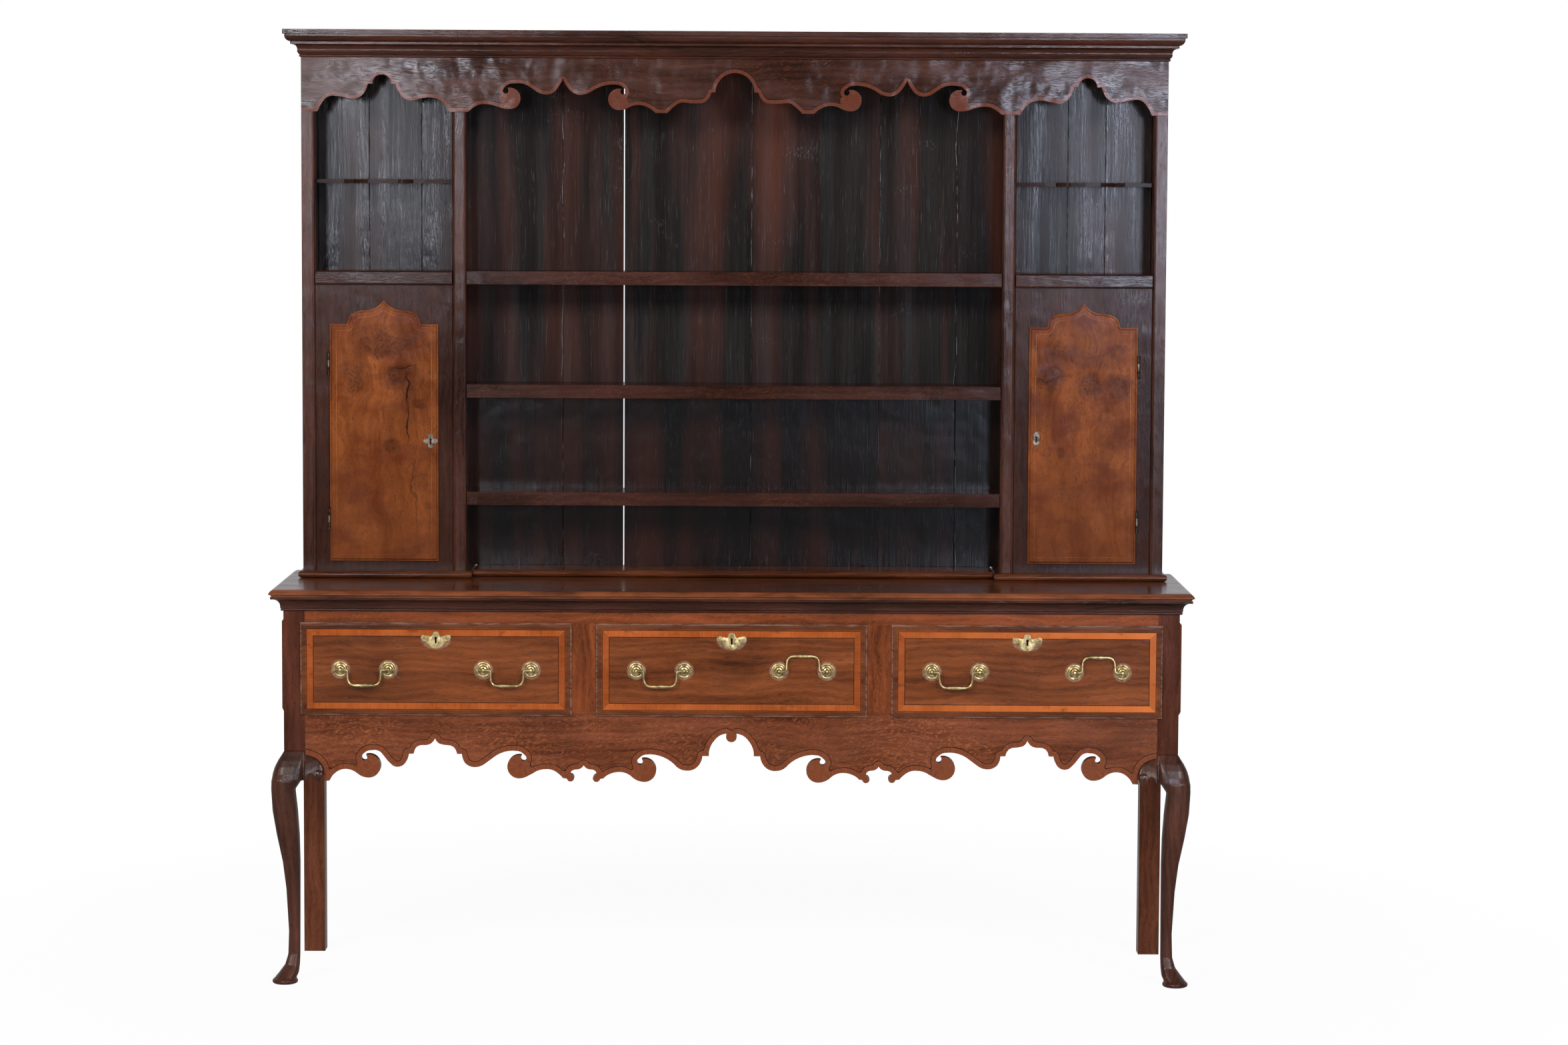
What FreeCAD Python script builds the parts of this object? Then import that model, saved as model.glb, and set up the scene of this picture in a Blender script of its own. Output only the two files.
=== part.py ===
"""Oak dresser: a three-drawer base on cabriole legs under a plate rack with two spice cupboards.

Millimetres, +Z up, front towards -Y. The origin is the middle of the footprint on the floor.
Every piece of wood or metal is its own solid, as it would lie on the bench.
"""
import FreeCAD
import Part
import math
import os

V = FreeCAD.Vector

# Base, seen from the front
base_height = 848.0          # floor to the surface of the base top
top_width = 1960.0
top_depth = 446.0
top_thickness = 16.0
top_lip_drop = 9.0           # the edge's sharpest point lies this far under the surface
top_lip_run = 11.0           # width of the thumbnail round on the edge
top_under_run = 7.0          # width of the hollow under the edge
post_overhang = 35.0         # front edge of the top to the face of the posts
side_overhang = 28.0
back_overhang = 8.0
post_size = 45.0
back_leg_size = 46.0

# Moulding under the base top
under_moulding_height = 31.0
under_moulding_reach = 25.0
under_fillet = 5.0
under_bead = 6.0
under_step = 3.0

# Drawers
drawer_height = 199.0        # over the lip
muntin_width = 70.0          # upright between two drawers
drawer_drop = 71.0           # surface of the top to the lip's upper edge
lip_overlap = 9.5
lip_thickness = 8.0
lip_round = 5.0
lip_fillet = 1.5
running_gap = 1.0            # between a drawer and its opening
seat_gap = 0.3               # between a drawer's lip or edge and what it rests on
drawer_front_body = 14.0     # the part of the front that stands inside the opening
drawer_length = 345.0        # carcass face to the back of the drawer
drawer_side_thickness = 10.0
drawer_bottom_thickness = 8.0
drawer_bottom_rise = 8.0
drawer_back_drop = 12.0      # the back is this much lower than the sides
band_border = 14.0           # lip edge to the crossbanding
band_width = 14.0
inlay_depth = 1.0
tail_count = 3
tail_length = 9.0
tail_splay = 3.0

# Brass on the drawers
handle_offset = 151.5        # drawer centre to the middle of a handle
handle_centres = 101.6
rose_radius = 16.8
rose_thickness = 4.0
post_reach = 12.0            # drawer face to the axis of the bail
knob_radius = 5.6
bail_end_radius = 2.0
bail_wire_radius = 2.5
bail_belly_radius = 4.3
bail_drop = 33.0
bail_clearance = 0.1
bail_lean = 12.0             # degrees past upright at which a bail rests on the drawer
escutcheon_drop = 36.5       # lip's upper edge to the middle of the plate
escutcheon_width = 64.0
escutcheon_height = 36.5
plate_thickness = 1.5
keyhole_radius = 3.0
keyhole_slot = 3.8
keyhole_drop = 11.0

# Locks
lock_width = 62.0
lock_height = 46.0
lock_depth = 9.0
bolt_width = 24.0
bolt_thickness = 4.0
bolt_length = 24.0
bolt_throw = 8.0
bolt_gap = 0.3

# Front frame and apron
frame_thickness = 22.0
apron_depth = 141.5            # drawer's lower lip to the foot of the deepest scroll
scroll_radius = 25.0
scroll_eye_radius = 6.3
apron_knob_radius = 7.8

# Legs
knee_reach = 27.0            # knee beyond the face of the post
knee_top = 85.0              # drawer's lower lip to the top of the knee
knee_height = 62.0           # top of the knee to the foot of its flat glueing face
knee_lap = 8.0               # the post runs this far into the knee, and the shin starts this far up it
ankle_height = 110.0
ankle_size = 24.0
pad_radius = 27.5
pad_height = 11.0
pad_round = 4.0
bracket_width = 40.0

# Carcass behind the front
side_board_thickness = 20.0
side_board_drop = 90.0       # drawer's lower lip to the foot of the side boards
side_panel_reach = 11.0
side_panel_margin = 14.0
back_board_thickness = 12.0
runner_thickness = 20.0
runner_width = 24.0
guide_rise = 14.0
kicker_thickness = 14.0
back_rail_thickness = 22.0
back_rail_height = 40.0

# Rack
total_height = 2036.0
rack_width = 1877.0
rack_depth = 154.0
rack_back_inset = 2.0        # rack's back to the back edge of the base top
rack_board = 20.0            # thickness of sides and partitions
facing_thickness = 15.0
outer_facing_width = 29.0
inner_facing_width = 31.0
facing_bead = 6.0
partition_centre = 597.0
sole_thickness = 15.0
sole_nosing = 22.0
sole_side_reach = 9.0
sole_inner_reach = 12.0
bottom_board_inset = 20.0
shelf_thickness = 12.0
shelf_facing_height = 29.0
shelf_rises = (669.0, 422.5, 188.0)     # base top to the upper face of each shelf
rack_back_thickness = 12.0
back_seams = (-805.0, -690.0, -379.0, -244.0, 37.0, 320.0, 489.0, 733.0, 816.0)
back_seam_round = 1.2         # arris taken off each side of a closed seam
open_seam = -244.0           # the one seam that has shrunk open
open_seam_gap = 2.6
rack_top_thickness = 12.0
rack_top_rebate = 6.0       # the rack's boards end this far under the cornice's top

# Cornice and frieze
cornice_height = 59.0
cornice_reach = 36.0
cornice_top_fillet = 10.0
frieze_height = 116.5        # cornice to the flat feet of the frieze
frieze_scroll_radius = 23.3

# Spice cupboards
cupboard_top_height = 31.0
cupboard_top_reach = 4.0
frame_recess = 5.0
cupboard_frame_thickness = 16.0
door_width = 236.0
door_bottom_rise = 21.0      # sole to the lower edge of the door
door_shoulder_height = 517.0
door_arch_rise = 53.0
door_lip_overlap = 8.0
door_lip = 7.0
door_lip_round = 4.0
door_body = 14.0
door_clearance = 1.5
spice_shelf_rise = 197.5     # top of the cupboard to the upper face of the shelf
spice_shelf_thickness = 8.5
spice_shelf_inset = 26.0
spice_shelf_bulge = 16.0
spice_bulge_width = 122.0
spice_ogee_run = 26.0
inner_shelf_rise = 330.0     # base top to the upper face of the shelf inside a cupboard
hinge_length = 49.0
hinge_radius = 2.9
hinge_pin_radius = 1.2
hinge_pin_gap = 0.05
hinge_offset = 2.5           # door edge to the pin
hinge_stand = 3.5            # pin to the face of the cupboard frame
hinge_leaf = 1.5
hinge_leaf_width = 5.0
hinge_low = 92.0             # lower edge of the door to the middle of the lower hinge
hinge_high = 430.0
door_lock_width = 34.0
door_lock_height = 48.0
door_lock_depth = 8.0
door_bolt_height = 22.0
door_bolt_throw = 7.0
left_plate_rise = 263.0      # lower edge of the door to the middle of its plate
right_plate_rise = 274.0
plate_inset = 17.0

# How finely curves are drawn
flat_enough = 0.5            # a bend that rises less than this is drawn straight
smooth_enough = 10.0         # degrees by which a curve may miss the heading asked for
small_sides = 6
rose_sides = 8
hinge_sides = 8
leg_corner_facets = 3
pad_sides = 20

# What follows from the sizes above
front = -top_depth / 2
back = top_depth / 2
face = front + post_overhang
carcass_half = top_width / 2 - side_overhang
post_inner = carcass_half - post_size
carcass_back = back - back_overhang
back_leg_front = carcass_back - back_leg_size
top_under = base_height - top_thickness
drawer_top = base_height - drawer_drop
drawer_foot = drawer_top - drawer_height
opening_top = drawer_top - lip_overlap
opening_foot = drawer_foot + lip_overlap
opening_half = (post_inner - muntin_width) / 3
drawer_width = 2 * (opening_half + lip_overlap)
pitch = 2 * opening_half + muntin_width
drawer_centres = (("left", -pitch), ("centre", 0.0), ("right", pitch))
drawer_face = face - lip_thickness
body_back = face + drawer_front_body
frame_back = face + frame_thickness
rose_height = (drawer_top + drawer_foot) / 2
bail_axis_y = drawer_face - post_reach
rack_half = rack_width / 2
rack_back = back - rack_back_inset
rack_front = rack_back - rack_depth
board_front = rack_front + facing_thickness
backs_front = rack_back - rack_back_thickness
rack_foot = base_height + sole_thickness
cornice_foot = total_height - cornice_height
frieze_foot = cornice_foot - frieze_height
rack_inner = rack_half - rack_board
outer_facing_edge = rack_half - outer_facing_width
bay_inner = partition_centre + inner_facing_width / 2
shelf_tops = [base_height + rise for rise in shelf_rises]
cupboard_top = shelf_tops[0]
spice_shelf_height = cupboard_top + spice_shelf_rise
inner_shelf_height = base_height + inner_shelf_rise
cupboard_face = rack_front + frame_recess
door_centre = (bay_inner + outer_facing_edge) / 2
door_half = door_width / 2
door_foot = rack_foot + door_bottom_rise
door_shoulder = door_foot + door_shoulder_height
door_face = cupboard_face - door_lip
hinge_x = door_centre + door_half + hinge_offset
hinge_y = cupboard_face - hinge_stand


def box(x0, x1, y0, y1, z0, z1):
    """A block between two corners."""
    low = V(min(x0, x1), min(y0, y1), min(z0, z1))
    return Part.makeBox(abs(x1 - x0), abs(y1 - y0), abs(z1 - z0), low)


def mirrored(shape):
    """The same piece for the other side of the dresser."""
    return shape.mirror(V(0, 0, 0), V(1, 0, 0))


def polygon(centre, axis, radius, sides):
    """Corners of a regular polygon, at a radius round an axis."""
    flat = V(0, 0, 1).cross(axis)
    if flat.Length < 0.01:
        flat = V(1, 0, 0)
    flat.normalize()
    other = axis.cross(flat)
    other.normalize()
    points = []
    for index in range(sides):
        turn = 2 * math.pi * (index + 0.5) / sides
        reach = V(flat).multiply(radius * math.cos(turn)).add(V(other).multiply(radius * math.sin(turn)))
        points.append(centre.add(reach))
    return points


def skinned(rings):
    """A solid with flat facets through rings of points, each ring with as many points."""
    faces = []
    count = len(rings[0])
    for lower, upper in zip(rings, rings[1:]):
        for index in range(count):
            after = (index + 1) % count
            corners = [lower[index], lower[after], upper[after], upper[index]]
            span = corners[1].sub(corners[0]).cross(corners[3].sub(corners[0]))
            if abs(span.dot(corners[2].sub(corners[0]))) < 1e-6 * span.Length:
                faces.append(Part.Face(Part.makePolygon(corners + corners[:1])))
                continue
            faces.append(Part.Face(Part.makePolygon([corners[0], corners[1], corners[2], corners[0]])))
            faces.append(Part.Face(Part.makePolygon([corners[0], corners[2], corners[3], corners[0]])))
    for ring in (rings[0], rings[-1]):
        faces.append(Part.Face(Part.makePolygon(ring + ring[:1])))
    shell = Part.makeShell(faces)
    shell.sewShape()
    solid = Part.Solid(Part.Shell(shell.Faces))
    if solid.Volume < 0:
        solid.reverse()
    return solid


def faceted(centre, axis, stations, sides):
    """Turned piece with flat facets, through stations of distance along the axis and radius."""
    along = V(axis).normalize()
    rings = []
    for distance, radius in stations:
        rings.append(polygon(centre.add(V(along).multiply(distance)), along, radius, sides))
    return skinned(rings)


def tool_radius(radius, sides):
    """Corner radius of a polygon whose flats lie outside a circle."""
    return radius / math.cos(math.pi / sides)


def both(shape):
    """A piece and its mirror image, as two solids."""
    return Part.makeCompound([shape, mirrored(shape)])


def heading(angle):
    """Direction of travel in the XZ plane, from an angle in degrees."""
    turn = math.radians(angle)
    return V(math.cos(turn), 0, math.sin(turn))


def arc_along(start, direction, end):
    """An arc that leaves start in a direction and reaches end, or a line where it is nearly flat."""
    side = V(-direction.z, 0, direction.x)
    chord = end.sub(start)
    lean = side.dot(chord) / chord.Length
    if abs(lean) * chord.Length < 4 * flat_enough:
        return Part.makeLine(start, end)
    radius = chord.Length / (2 * lean)
    centre = start.add(side.multiply(radius))
    middle = start.add(end).multiply(0.5).sub(centre)
    middle.normalize()
    return Part.Arc(start, centre.add(middle.multiply(abs(radius))), end).toShape()


def biarc(start, start_angle, end, end_angle):
    """One arc if it runs smoothly from one heading to another, or else two."""
    leave = heading(start_angle)
    arrive = heading(end_angle)
    chord = end.sub(start)
    across = V(chord).normalize()
    mirrored_leave = across.multiply(2 * across.dot(leave)).sub(leave)
    if math.degrees(mirrored_leave.getAngle(arrive)) < smooth_enough:
        return [arc_along(start, leave, end)]
    both_ways = leave.add(arrive)
    bend = 2 * (1 - leave.dot(arrive))
    if bend < 1e-9:
        reach = chord.dot(chord) / (4 * chord.dot(arrive))
    else:
        along = chord.dot(both_ways)
        root = math.sqrt(along * along + bend * chord.dot(chord))
        reach = (root - along) / bend
    first = start.add(V(leave).multiply(reach))
    last = end.sub(V(arrive).multiply(reach))
    meet = first.add(last).multiply(0.5)
    second = arc_along(end, V(arrive).multiply(-1), meet)
    return [arc_along(start, leave, meet), second]


def run(stations):
    """Smooth edges through stations of x, z and heading."""
    edges = []
    for here, there in zip(stations, stations[1:]):
        start = V(here[0], 0, here[1])
        end = V(there[0], 0, there[1])
        edges += biarc(start, here[2], end, there[2])
    return edges


def line(x0, z0, x1, z1):
    """A straight edge in the XZ plane."""
    return Part.makeLine(V(x0, 0, z0), V(x1, 0, z1))


def joined(edges):
    """One wire from edges given in any order."""
    return Part.Wire(Part.__sortEdges__(edges))


def upright(wire, y0, y1):
    """A board cut to an outline in the XZ plane, between two depths."""
    solid = Part.Face(wire).extrude(V(0, y1 - y0, 0))
    solid.translate(V(0, y0, 0))
    return solid


def edge_profile(segments, place):
    """Edges of a moulded edge. Each station is an inset, a height and the bulge of the way there."""
    edges = []
    for (inset0, height0, _), (inset1, height1, bulge) in zip(segments, segments[1:]):
        start = place(inset0, height0)
        end = place(inset1, height1)
        if bulge == 0:
            edges.append(Part.makeLine(start, end))
            continue
        inset = (inset0 + inset1) / 2 - bulge * (height1 - height0)
        height = (height0 + height1) / 2 + bulge * (inset1 - inset0)
        edges.append(Part.Arc(start, place(inset, height), end).toShape())
    return edges


def moulded_slab(half, y_front, y_back, segments):
    """A slab whose front and two ends carry one moulding, mitred at the corners."""
    low = segments[0][1]
    high = segments[-1][1]

    def at_front(inset, height):
        return V(-half, y_front + inset, height)

    def at_left(inset, height):
        return V(-half + inset, y_front, height)

    front_edges = edge_profile(segments, at_front)
    front_edges.append(Part.makeLine(at_front(segments[-1][0], high), V(-half, y_back, high)))
    front_edges.append(Part.makeLine(V(-half, y_back, high), V(-half, y_back, low)))
    front_edges.append(Part.makeLine(V(-half, y_back, low), at_front(segments[0][0], low)))
    along = Part.Face(joined(front_edges)).extrude(V(2 * half, 0, 0))
    left_edges = edge_profile(segments, at_left)
    right_edges = [edge.mirror(V(0, 0, 0), V(1, 0, 0)) for edge in left_edges]
    left_edges += right_edges
    for inset, height, bulge in (segments[0], segments[-1]):
        left_edges.append(Part.makeLine(at_left(inset, height), V(half - inset, y_front, height)))
    across = Part.Face(joined(left_edges)).extrude(V(0, y_back - y_front, 0))
    return along.common(across)


def mitred_moulding(half, y_front, y_back, reach, segments):
    """Three lengths of moulding, mitred, round the front and ends of a case."""
    slab = moulded_slab(half, y_front, y_back, segments)
    low = segments[0][1]
    high = segments[-1][1]
    core = box(-half + reach, half - reach, y_front + reach, y_back + 1, low - 1, high + 1)
    ring = slab.cut(core)
    depth = reach * 2
    corners = [V(-half, y_front, low - 1), V(half, y_front, low - 1)]
    corners += [V(half - depth, y_front + depth, low - 1), V(-half + depth, y_front + depth, low - 1)]
    wedge = Part.Face(Part.makePolygon(corners + corners[:1])).extrude(V(0, 0, high - low + 2))
    return Part.makeCompound([ring.common(wedge)] + ring.cut(wedge).Solids)


def lipped_plate(half_x, z_low, z_high, y_face, y_back, radius, fillet):
    """A plate whose four front edges have a small fillet and a quarter round."""
    def profile(reach, sign, centre, make):
        points = [(sign * reach, y_back), (sign * reach, y_face + radius + fillet)]
        first = make(centre + points[1][0], points[1][1])
        edges = [Part.makeLine(make(centre + points[0][0], y_back), first)]
        inset = radius * (1 - math.sqrt(0.5))
        middle = (sign * (reach - inset), y_face + fillet + inset)
        shoulder = (sign * (reach - radius), y_face + fillet)
        last = make(centre + shoulder[0], shoulder[1])
        edges.append(Part.Arc(first, make(centre + middle[0], middle[1]), last).toShape())
        edges.append(Part.makeLine(last, make(centre + shoulder[0], y_face)))
        return edges

    def flat(across, depth):
        return V(across, depth, z_low)

    def tall(across, depth):
        return V(-half_x, depth, across)

    wide = profile(half_x, 1, 0, flat) + profile(half_x, -1, 0, flat)
    wide.append(Part.makeLine(flat(-half_x, y_back), flat(half_x, y_back)))
    wide.append(Part.makeLine(flat(-half_x + radius, y_face), flat(half_x - radius, y_face)))
    solid = Part.Face(joined(wide)).extrude(V(0, 0, z_high - z_low))
    middle_z = (z_low + z_high) / 2
    half_z = (z_high - z_low) / 2
    high = profile(half_z, 1, middle_z, tall) + profile(half_z, -1, middle_z, tall)
    high.append(Part.makeLine(tall(z_low, y_back), tall(z_high, y_back)))
    high.append(Part.makeLine(tall(z_low + radius, y_face), tall(z_high - radius, y_face)))
    return solid.common(Part.Face(joined(high)).extrude(V(2 * half_x, 0, 0)))


def keyhole(x, z, y0, y1):
    """The keyhole's round and slot, as a tool to cut with."""
    tool = faceted(V(x, y0, z), V(0, 1, 0), [(0, keyhole_radius), (y1 - y0, keyhole_radius)], small_sides)
    slot = box(x - keyhole_slot / 2, x + keyhole_slot / 2, y0, y1, z - keyhole_drop, z)
    return tool.fuse(slot)


def base_top():
    """The board of the base, with a thumbnail round and a hollow under its lip."""
    tip = base_height - top_lip_drop
    segments = [(top_under_run, top_under, 0), (0, tip - 1, -0.15), (0, tip, 0),
                (top_lip_run, base_height, 0.15)]
    return moulded_slab(top_width / 2, front, back, segments)


def under_moulding():
    """Cavetto moulding under the base top, mitred at the corners."""
    reach = under_moulding_reach
    low = top_under - under_moulding_height
    bead_top = low + under_bead
    step_top = bead_top + under_step
    segments = [(reach - 3, low, 0), (reach - 3, bead_top, 0.4), (reach - 6, bead_top, 0),
                (reach - 6, step_top, 0), (3, top_under - under_fillet, -0.207),
                (0, top_under - under_fillet, 0), (0, top_under, 0)]
    half = carcass_half + reach
    return mitred_moulding(half, face - reach, carcass_back, reach, segments)


def leg_ring(out, inner, radius, z):
    """Section of a front leg: out and inner are measured from the post's outer faces."""
    x1 = carcass_half + out
    x0 = carcass_half - inner
    y0 = face - out
    y1 = face + inner
    r = min(radius, (x1 - x0) / 2 - 0.5)
    points = []
    corners = ((x1 - r, y1 - r, 0), (x0 + r, y1 - r, 90), (x0 + r, y0 + r, 180), (x1 - r, y0 + r, 270))
    for x, y, start in corners:
        for index in range(leg_corner_facets + 1):
            turn = math.radians(start + 90 * index / leg_corner_facets)
            points.append(V(x + r * math.cos(turn), y + r * math.sin(turn), z))
    return points


def front_leg():
    """Right front leg: square post, round knee, tapering shin, thin ankle and pad foot."""
    k = post_size / 45
    knee_z = drawer_foot - knee_top
    seat_z = knee_z - knee_height + knee_lap
    post = box(post_inner, carcass_half, face, face + post_size, knee_z + knee_lap, top_under)
    swell = ((2, 0.22, 8), (12, 0.47, 13), (26, 0.73, 18), (40, 0.89, 21), (54, 0.97, 22))
    knee = [leg_ring(0, post_size, 1.5, knee_z + knee_lap)]
    for drop, share, radius in swell:
        knee.append(leg_ring(knee_reach * share, post_size, radius * k, knee_z - drop * k))
    upper = skinned(knee)
    ankle_in = post_size * 0.68
    ankle_out = ankle_size - ankle_in
    shin = ((0, 1.0, 37, 22), (0.06, 1.01, 24, 20), (0.2, 0.9, 28, 16), (0.36, 0.6, 31, 14),
            (0.54, 0.18, 32, 11), (0.72, -0.07, 31.5, 9))
    lower = []
    for share, reach, inner, radius in shin:
        z = seat_z - share * (seat_z - ankle_height)
        lower.append(leg_ring(knee_reach * reach, inner * k, radius * k, z))
    lower.append(leg_ring(ankle_out, ankle_in, 8 * k, ankle_height))
    for share, flare, radius in ((0.5, 1.5, 8), (0.28, 8, 11), (0.12, 20, 18)):
        z = pad_height + share * (ankle_height - pad_height)
        lower.append(leg_ring(ankle_out + flare * k, ankle_in - 0.1 * flare * k, radius * k, z))
    rim = pad_radius - pad_round
    lower.append(leg_ring(rim, rim, rim - 0.5, pad_height))
    shank = skinned(lower)
    stations = [(0, rim), (pad_height * 0.25, pad_radius), (pad_height * 0.75, pad_radius),
                (pad_height, rim)]
    pad = faceted(V(carcass_half, face, 0), V(0, 0, 1), stations, pad_sides)
    return post.fuse([upper, shank, pad])


def back_leg():
    """Right back leg: plain and square, from the floor to the top."""
    return box(carcass_half - back_leg_size, carcass_half, back_leg_front, carcass_back, 0, top_under)


def down(depth):
    """Height of a place on the apron, from its depth under the drawers in the apron's own proportions."""
    return drawer_foot - depth * apron_depth / 141.5


def bracket_top_line():
    """Edge shared by the apron and the knee bracket, from the bracket's scroll to the post."""
    x = post_inner
    z = drawer_foot
    w = bracket_width / 40
    return run([(x - 40 * w, down(128), 97), (x - 39 * w, down(115), 78), (x - 30 * w, down(99), 48),
                (x - 14 * w, down(89), 18), (x, z - knee_top, 4)])


def bracket_face():
    """Front outline of a knee bracket, with its small scroll and the notch beside it."""
    x = post_inner
    z = drawer_foot
    w = bracket_width / 40
    low = z - knee_top - knee_height + knee_lap
    edges = bracket_top_line()
    edges += run([(x - 40 * w, down(128), -83), (x - 36.5 * w, down(137.5), -45),
                  (x - 30 * w, down(141), 0), (x - 21 * w, down(135), 70),
                  (x - 12.5 * w, down(125), 0), (x - 4 * w, down(132), -60)])
    edges.append(line(x - 4 * w, down(132), x, low))
    edges.append(line(x, low, x, z - knee_top))
    return joined(edges)


def knee_section(x, share, z_low, z_high):
    """Side view of the knee at one place along a bracket."""
    reach = knee_reach * share
    height = z_high - z_low
    y_in = frame_back
    points = [V(x, face, z_high), V(x, face - reach * 0.72, z_high - height * 0.42),
              V(x, face - reach, z_low + knee_lap)]
    edges = [Part.Arc(points[0], points[1], points[2]).toShape()]
    edges.append(Part.makeLine(points[2], V(x, face - reach * 0.9, z_low)))
    edges.append(Part.makeLine(V(x, face - reach * 0.9, z_low), V(x, y_in, z_low)))
    edges.append(Part.makeLine(V(x, y_in, z_low), V(x, y_in, z_high)))
    edges.append(Part.makeLine(V(x, y_in, z_high), points[0]))
    return Part.Wire(edges)


def front_bracket():
    """Right-hand bracket of the front: the ear's outline under the round of the knee."""
    low = drawer_foot - knee_top - knee_height - 10
    high = drawer_foot - knee_top + 1
    near = knee_section(post_inner, 1.0, low, high)
    far = knee_section(post_inner - bracket_width - 1, 0.5, low, high - 4)
    ear = upright(bracket_face(), face - knee_reach - 5, frame_back)
    return ear.common(Part.makeLoft([near, far], True, True))


def turned_to_side(shape):
    """A front bracket moved round the corner, to the side of its leg."""
    side = shape.mirror(V(carcass_half, face, 0), V(1, 1, 0))
    return side


def knee_brackets():
    """Four brackets: one each side of both front legs."""
    one = front_bracket()
    pair = [one, turned_to_side(one)]
    return Part.makeCompound(pair + [mirrored(piece) for piece in pair])


def scroll(x, z, radius, eye, side):
    """A scroll's throat, eye and body: edges, then where it is entered and left."""
    s = side
    r = radius / 25.0
    hook = math.radians(77)
    hook_x = x + s * radius * math.cos(hook)
    hook_z = z + radius * math.sin(hook)
    eye_x = x + s * 9.5 * r
    eye_z = z + 18.0 * r

    def turned(angle):
        return angle if s > 0 else 180 - angle

    throat = [(x - s * 13 * r, z + 34.5 * r, turned(0)), (x + s * 7.5 * r, z + 29.5 * r, turned(-38)),
              (eye_x + s * eye, eye_z, turned(-90)), (eye_x, eye_z - eye, turned(180)),
              (eye_x - s * eye, eye_z + 0.5 * r, turned(90)), (hook_x, hook_z, turned(62))]
    body = [(hook_x, hook_z, turned(167)), (x - s * radius, z, turned(270)), (x, z - radius, turned(0))]
    return throat, body


def apron_lower_edge():
    """Right half of the apron's shaped edge, from the middle pendant to the bracket."""
    bay = pitch / 2 / 314.0
    knob = apron_knob_radius
    eye = scroll_eye_radius
    edges = run([(0, down(54.5), 0), (11.3 * bay, down(43), 90), (10.3 * bay, down(37.5), 105)])
    edges.append(line(10.3 * bay, down(37.5), 10.8 * bay, down(36.3)))
    edges += run([(10.8 * bay, down(36.3), -4), (36 * bay, down(51), -48), (48 * bay, down(84.5), -84)])
    edges.append(line(48 * bay, down(84.5), 61.5 * bay, down(84.5)))
    throat, body = scroll(185 * bay, down(115.7), scroll_radius, eye, 1)
    edges += run([(61.5 * bay, down(84.5), -86), (70 * bay, down(105.5), -50), (95 * bay, down(116), 0),
                  (121 * bay, down(103), 44), throat[0]])
    edges += run(throat)
    edges += run(body + [(238 * bay, down(119.5), 0), (262 * bay, down(125.5), -26),
                         (272 * bay, down(133.5), -48)])
    edges.append(line(272 * bay, down(133.5), 287 * bay - knob * 0.98, down(134.8)))
    edges += run([(287 * bay - knob * 0.98, down(134.8), -80), (287 * bay, down(133.5) - knob, 0),
                  (287 * bay + knob, down(133.5), 90), (287 * bay, down(133.5) + knob, 180)])
    edges += run([(287 * bay, down(133.5) + knob, 96), (291 * bay, down(116.5), 38),
                  (300 * bay, down(114.3), 4), (309 * bay, down(111.5), 34), (pitch / 2, down(105.5), 62)])
    return edges + apron_side_bay()


def apron_side_bay():
    """The apron's edge under an outer drawer: knob, scroll, stepped ogee, scroll, flat."""
    start = pitch / 2
    end = post_inner - bracket_width
    share = (end - start) / (867.0 - 314.0)
    knob = apron_knob_radius
    eye = scroll_eye_radius

    def at(x):
        return start + (x - 314.0) * share

    edges = run([(start, down(105.5), -62), (at(320), down(111.8), -32), (at(329), down(114.5), -4),
                 (at(339), down(117), -40), (at(342.5), down(132.8) + knob, -88)])
    edges += run([(at(342.5), down(132.8) + knob, 180), (at(342.5) - knob, down(132.8), 270),
                  (at(342.5), down(132.8) - knob, 0), (at(342.5) + knob * 0.98, down(134.2), 82)])
    edges.append(line(at(342.5) + knob * 0.98, down(134.2), at(358), down(133.5)))
    throat, body = scroll(at(452), down(109.3), scroll_radius, eye, -1)
    returning = [(px, pz, angle + 180) for px, pz, angle in reversed(body)]
    edges += run([(at(358), down(133.5), 50), (at(372), down(120.5), 36), (at(396), down(114.3), 0),
                  (at(422), down(123), -30), returning[0]])
    edges += run(returning)
    inward = [(px, pz, angle + 180) for px, pz, angle in reversed(throat)]
    edges += run(inward + [(at(507), down(90), -38), (at(546.5), down(110.5), 0),
                           (at(567), down(101.5), 55), (at(573.5), down(82.3), 86)])
    edges.append(line(at(573.5), down(82.3), at(584), down(82.3)))
    edges += run([(at(584), down(82.3), 84), (at(592), down(67), 42), (at(605), down(63.5), 3),
                  (at(621), down(60.5), 28), (at(630.6), down(49), 68)])
    edges += run([(at(630.6), down(49), -68), (at(640), down(60.5), -28), (at(656), down(63.5), -3),
                  (at(669), down(67), -42), (at(677), down(82.3), -84)])
    edges.append(line(at(677), down(82.3), at(687.5), down(82.3)))
    throat, body = scroll(at(772), down(109.0), scroll_radius, eye, 1)
    edges += run([(at(687.5), down(82.3), -86), (at(693.5), down(101), -58), (at(711), down(110.5), 0),
                  (at(731), down(98), 50), throat[0]])
    edges += run(throat)
    edges += run(body + [(at(821), down(115.5), 0), (at(842), down(123), -38), (at(856), down(141), -62)])
    edges.append(line(at(856), down(141), at(867) + 1.0, down(141.5)))
    edges.append(line(at(867) + 1.0, down(141.5), end, down(128)))
    return edges + bracket_top_line()


def closed_outline(edges, x_end, z_end, z_top):
    """A face over a shaped lower edge, closed by straight ends and a straight top."""
    outline = list(edges) + [edge.mirror(V(0, 0, 0), V(1, 0, 0)) for edge in edges]
    outline.append(line(x_end, z_end, x_end, z_top))
    outline.append(line(-x_end, z_end, -x_end, z_top))
    outline.append(line(-x_end, z_top, x_end, z_top))
    return joined(outline)


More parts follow.
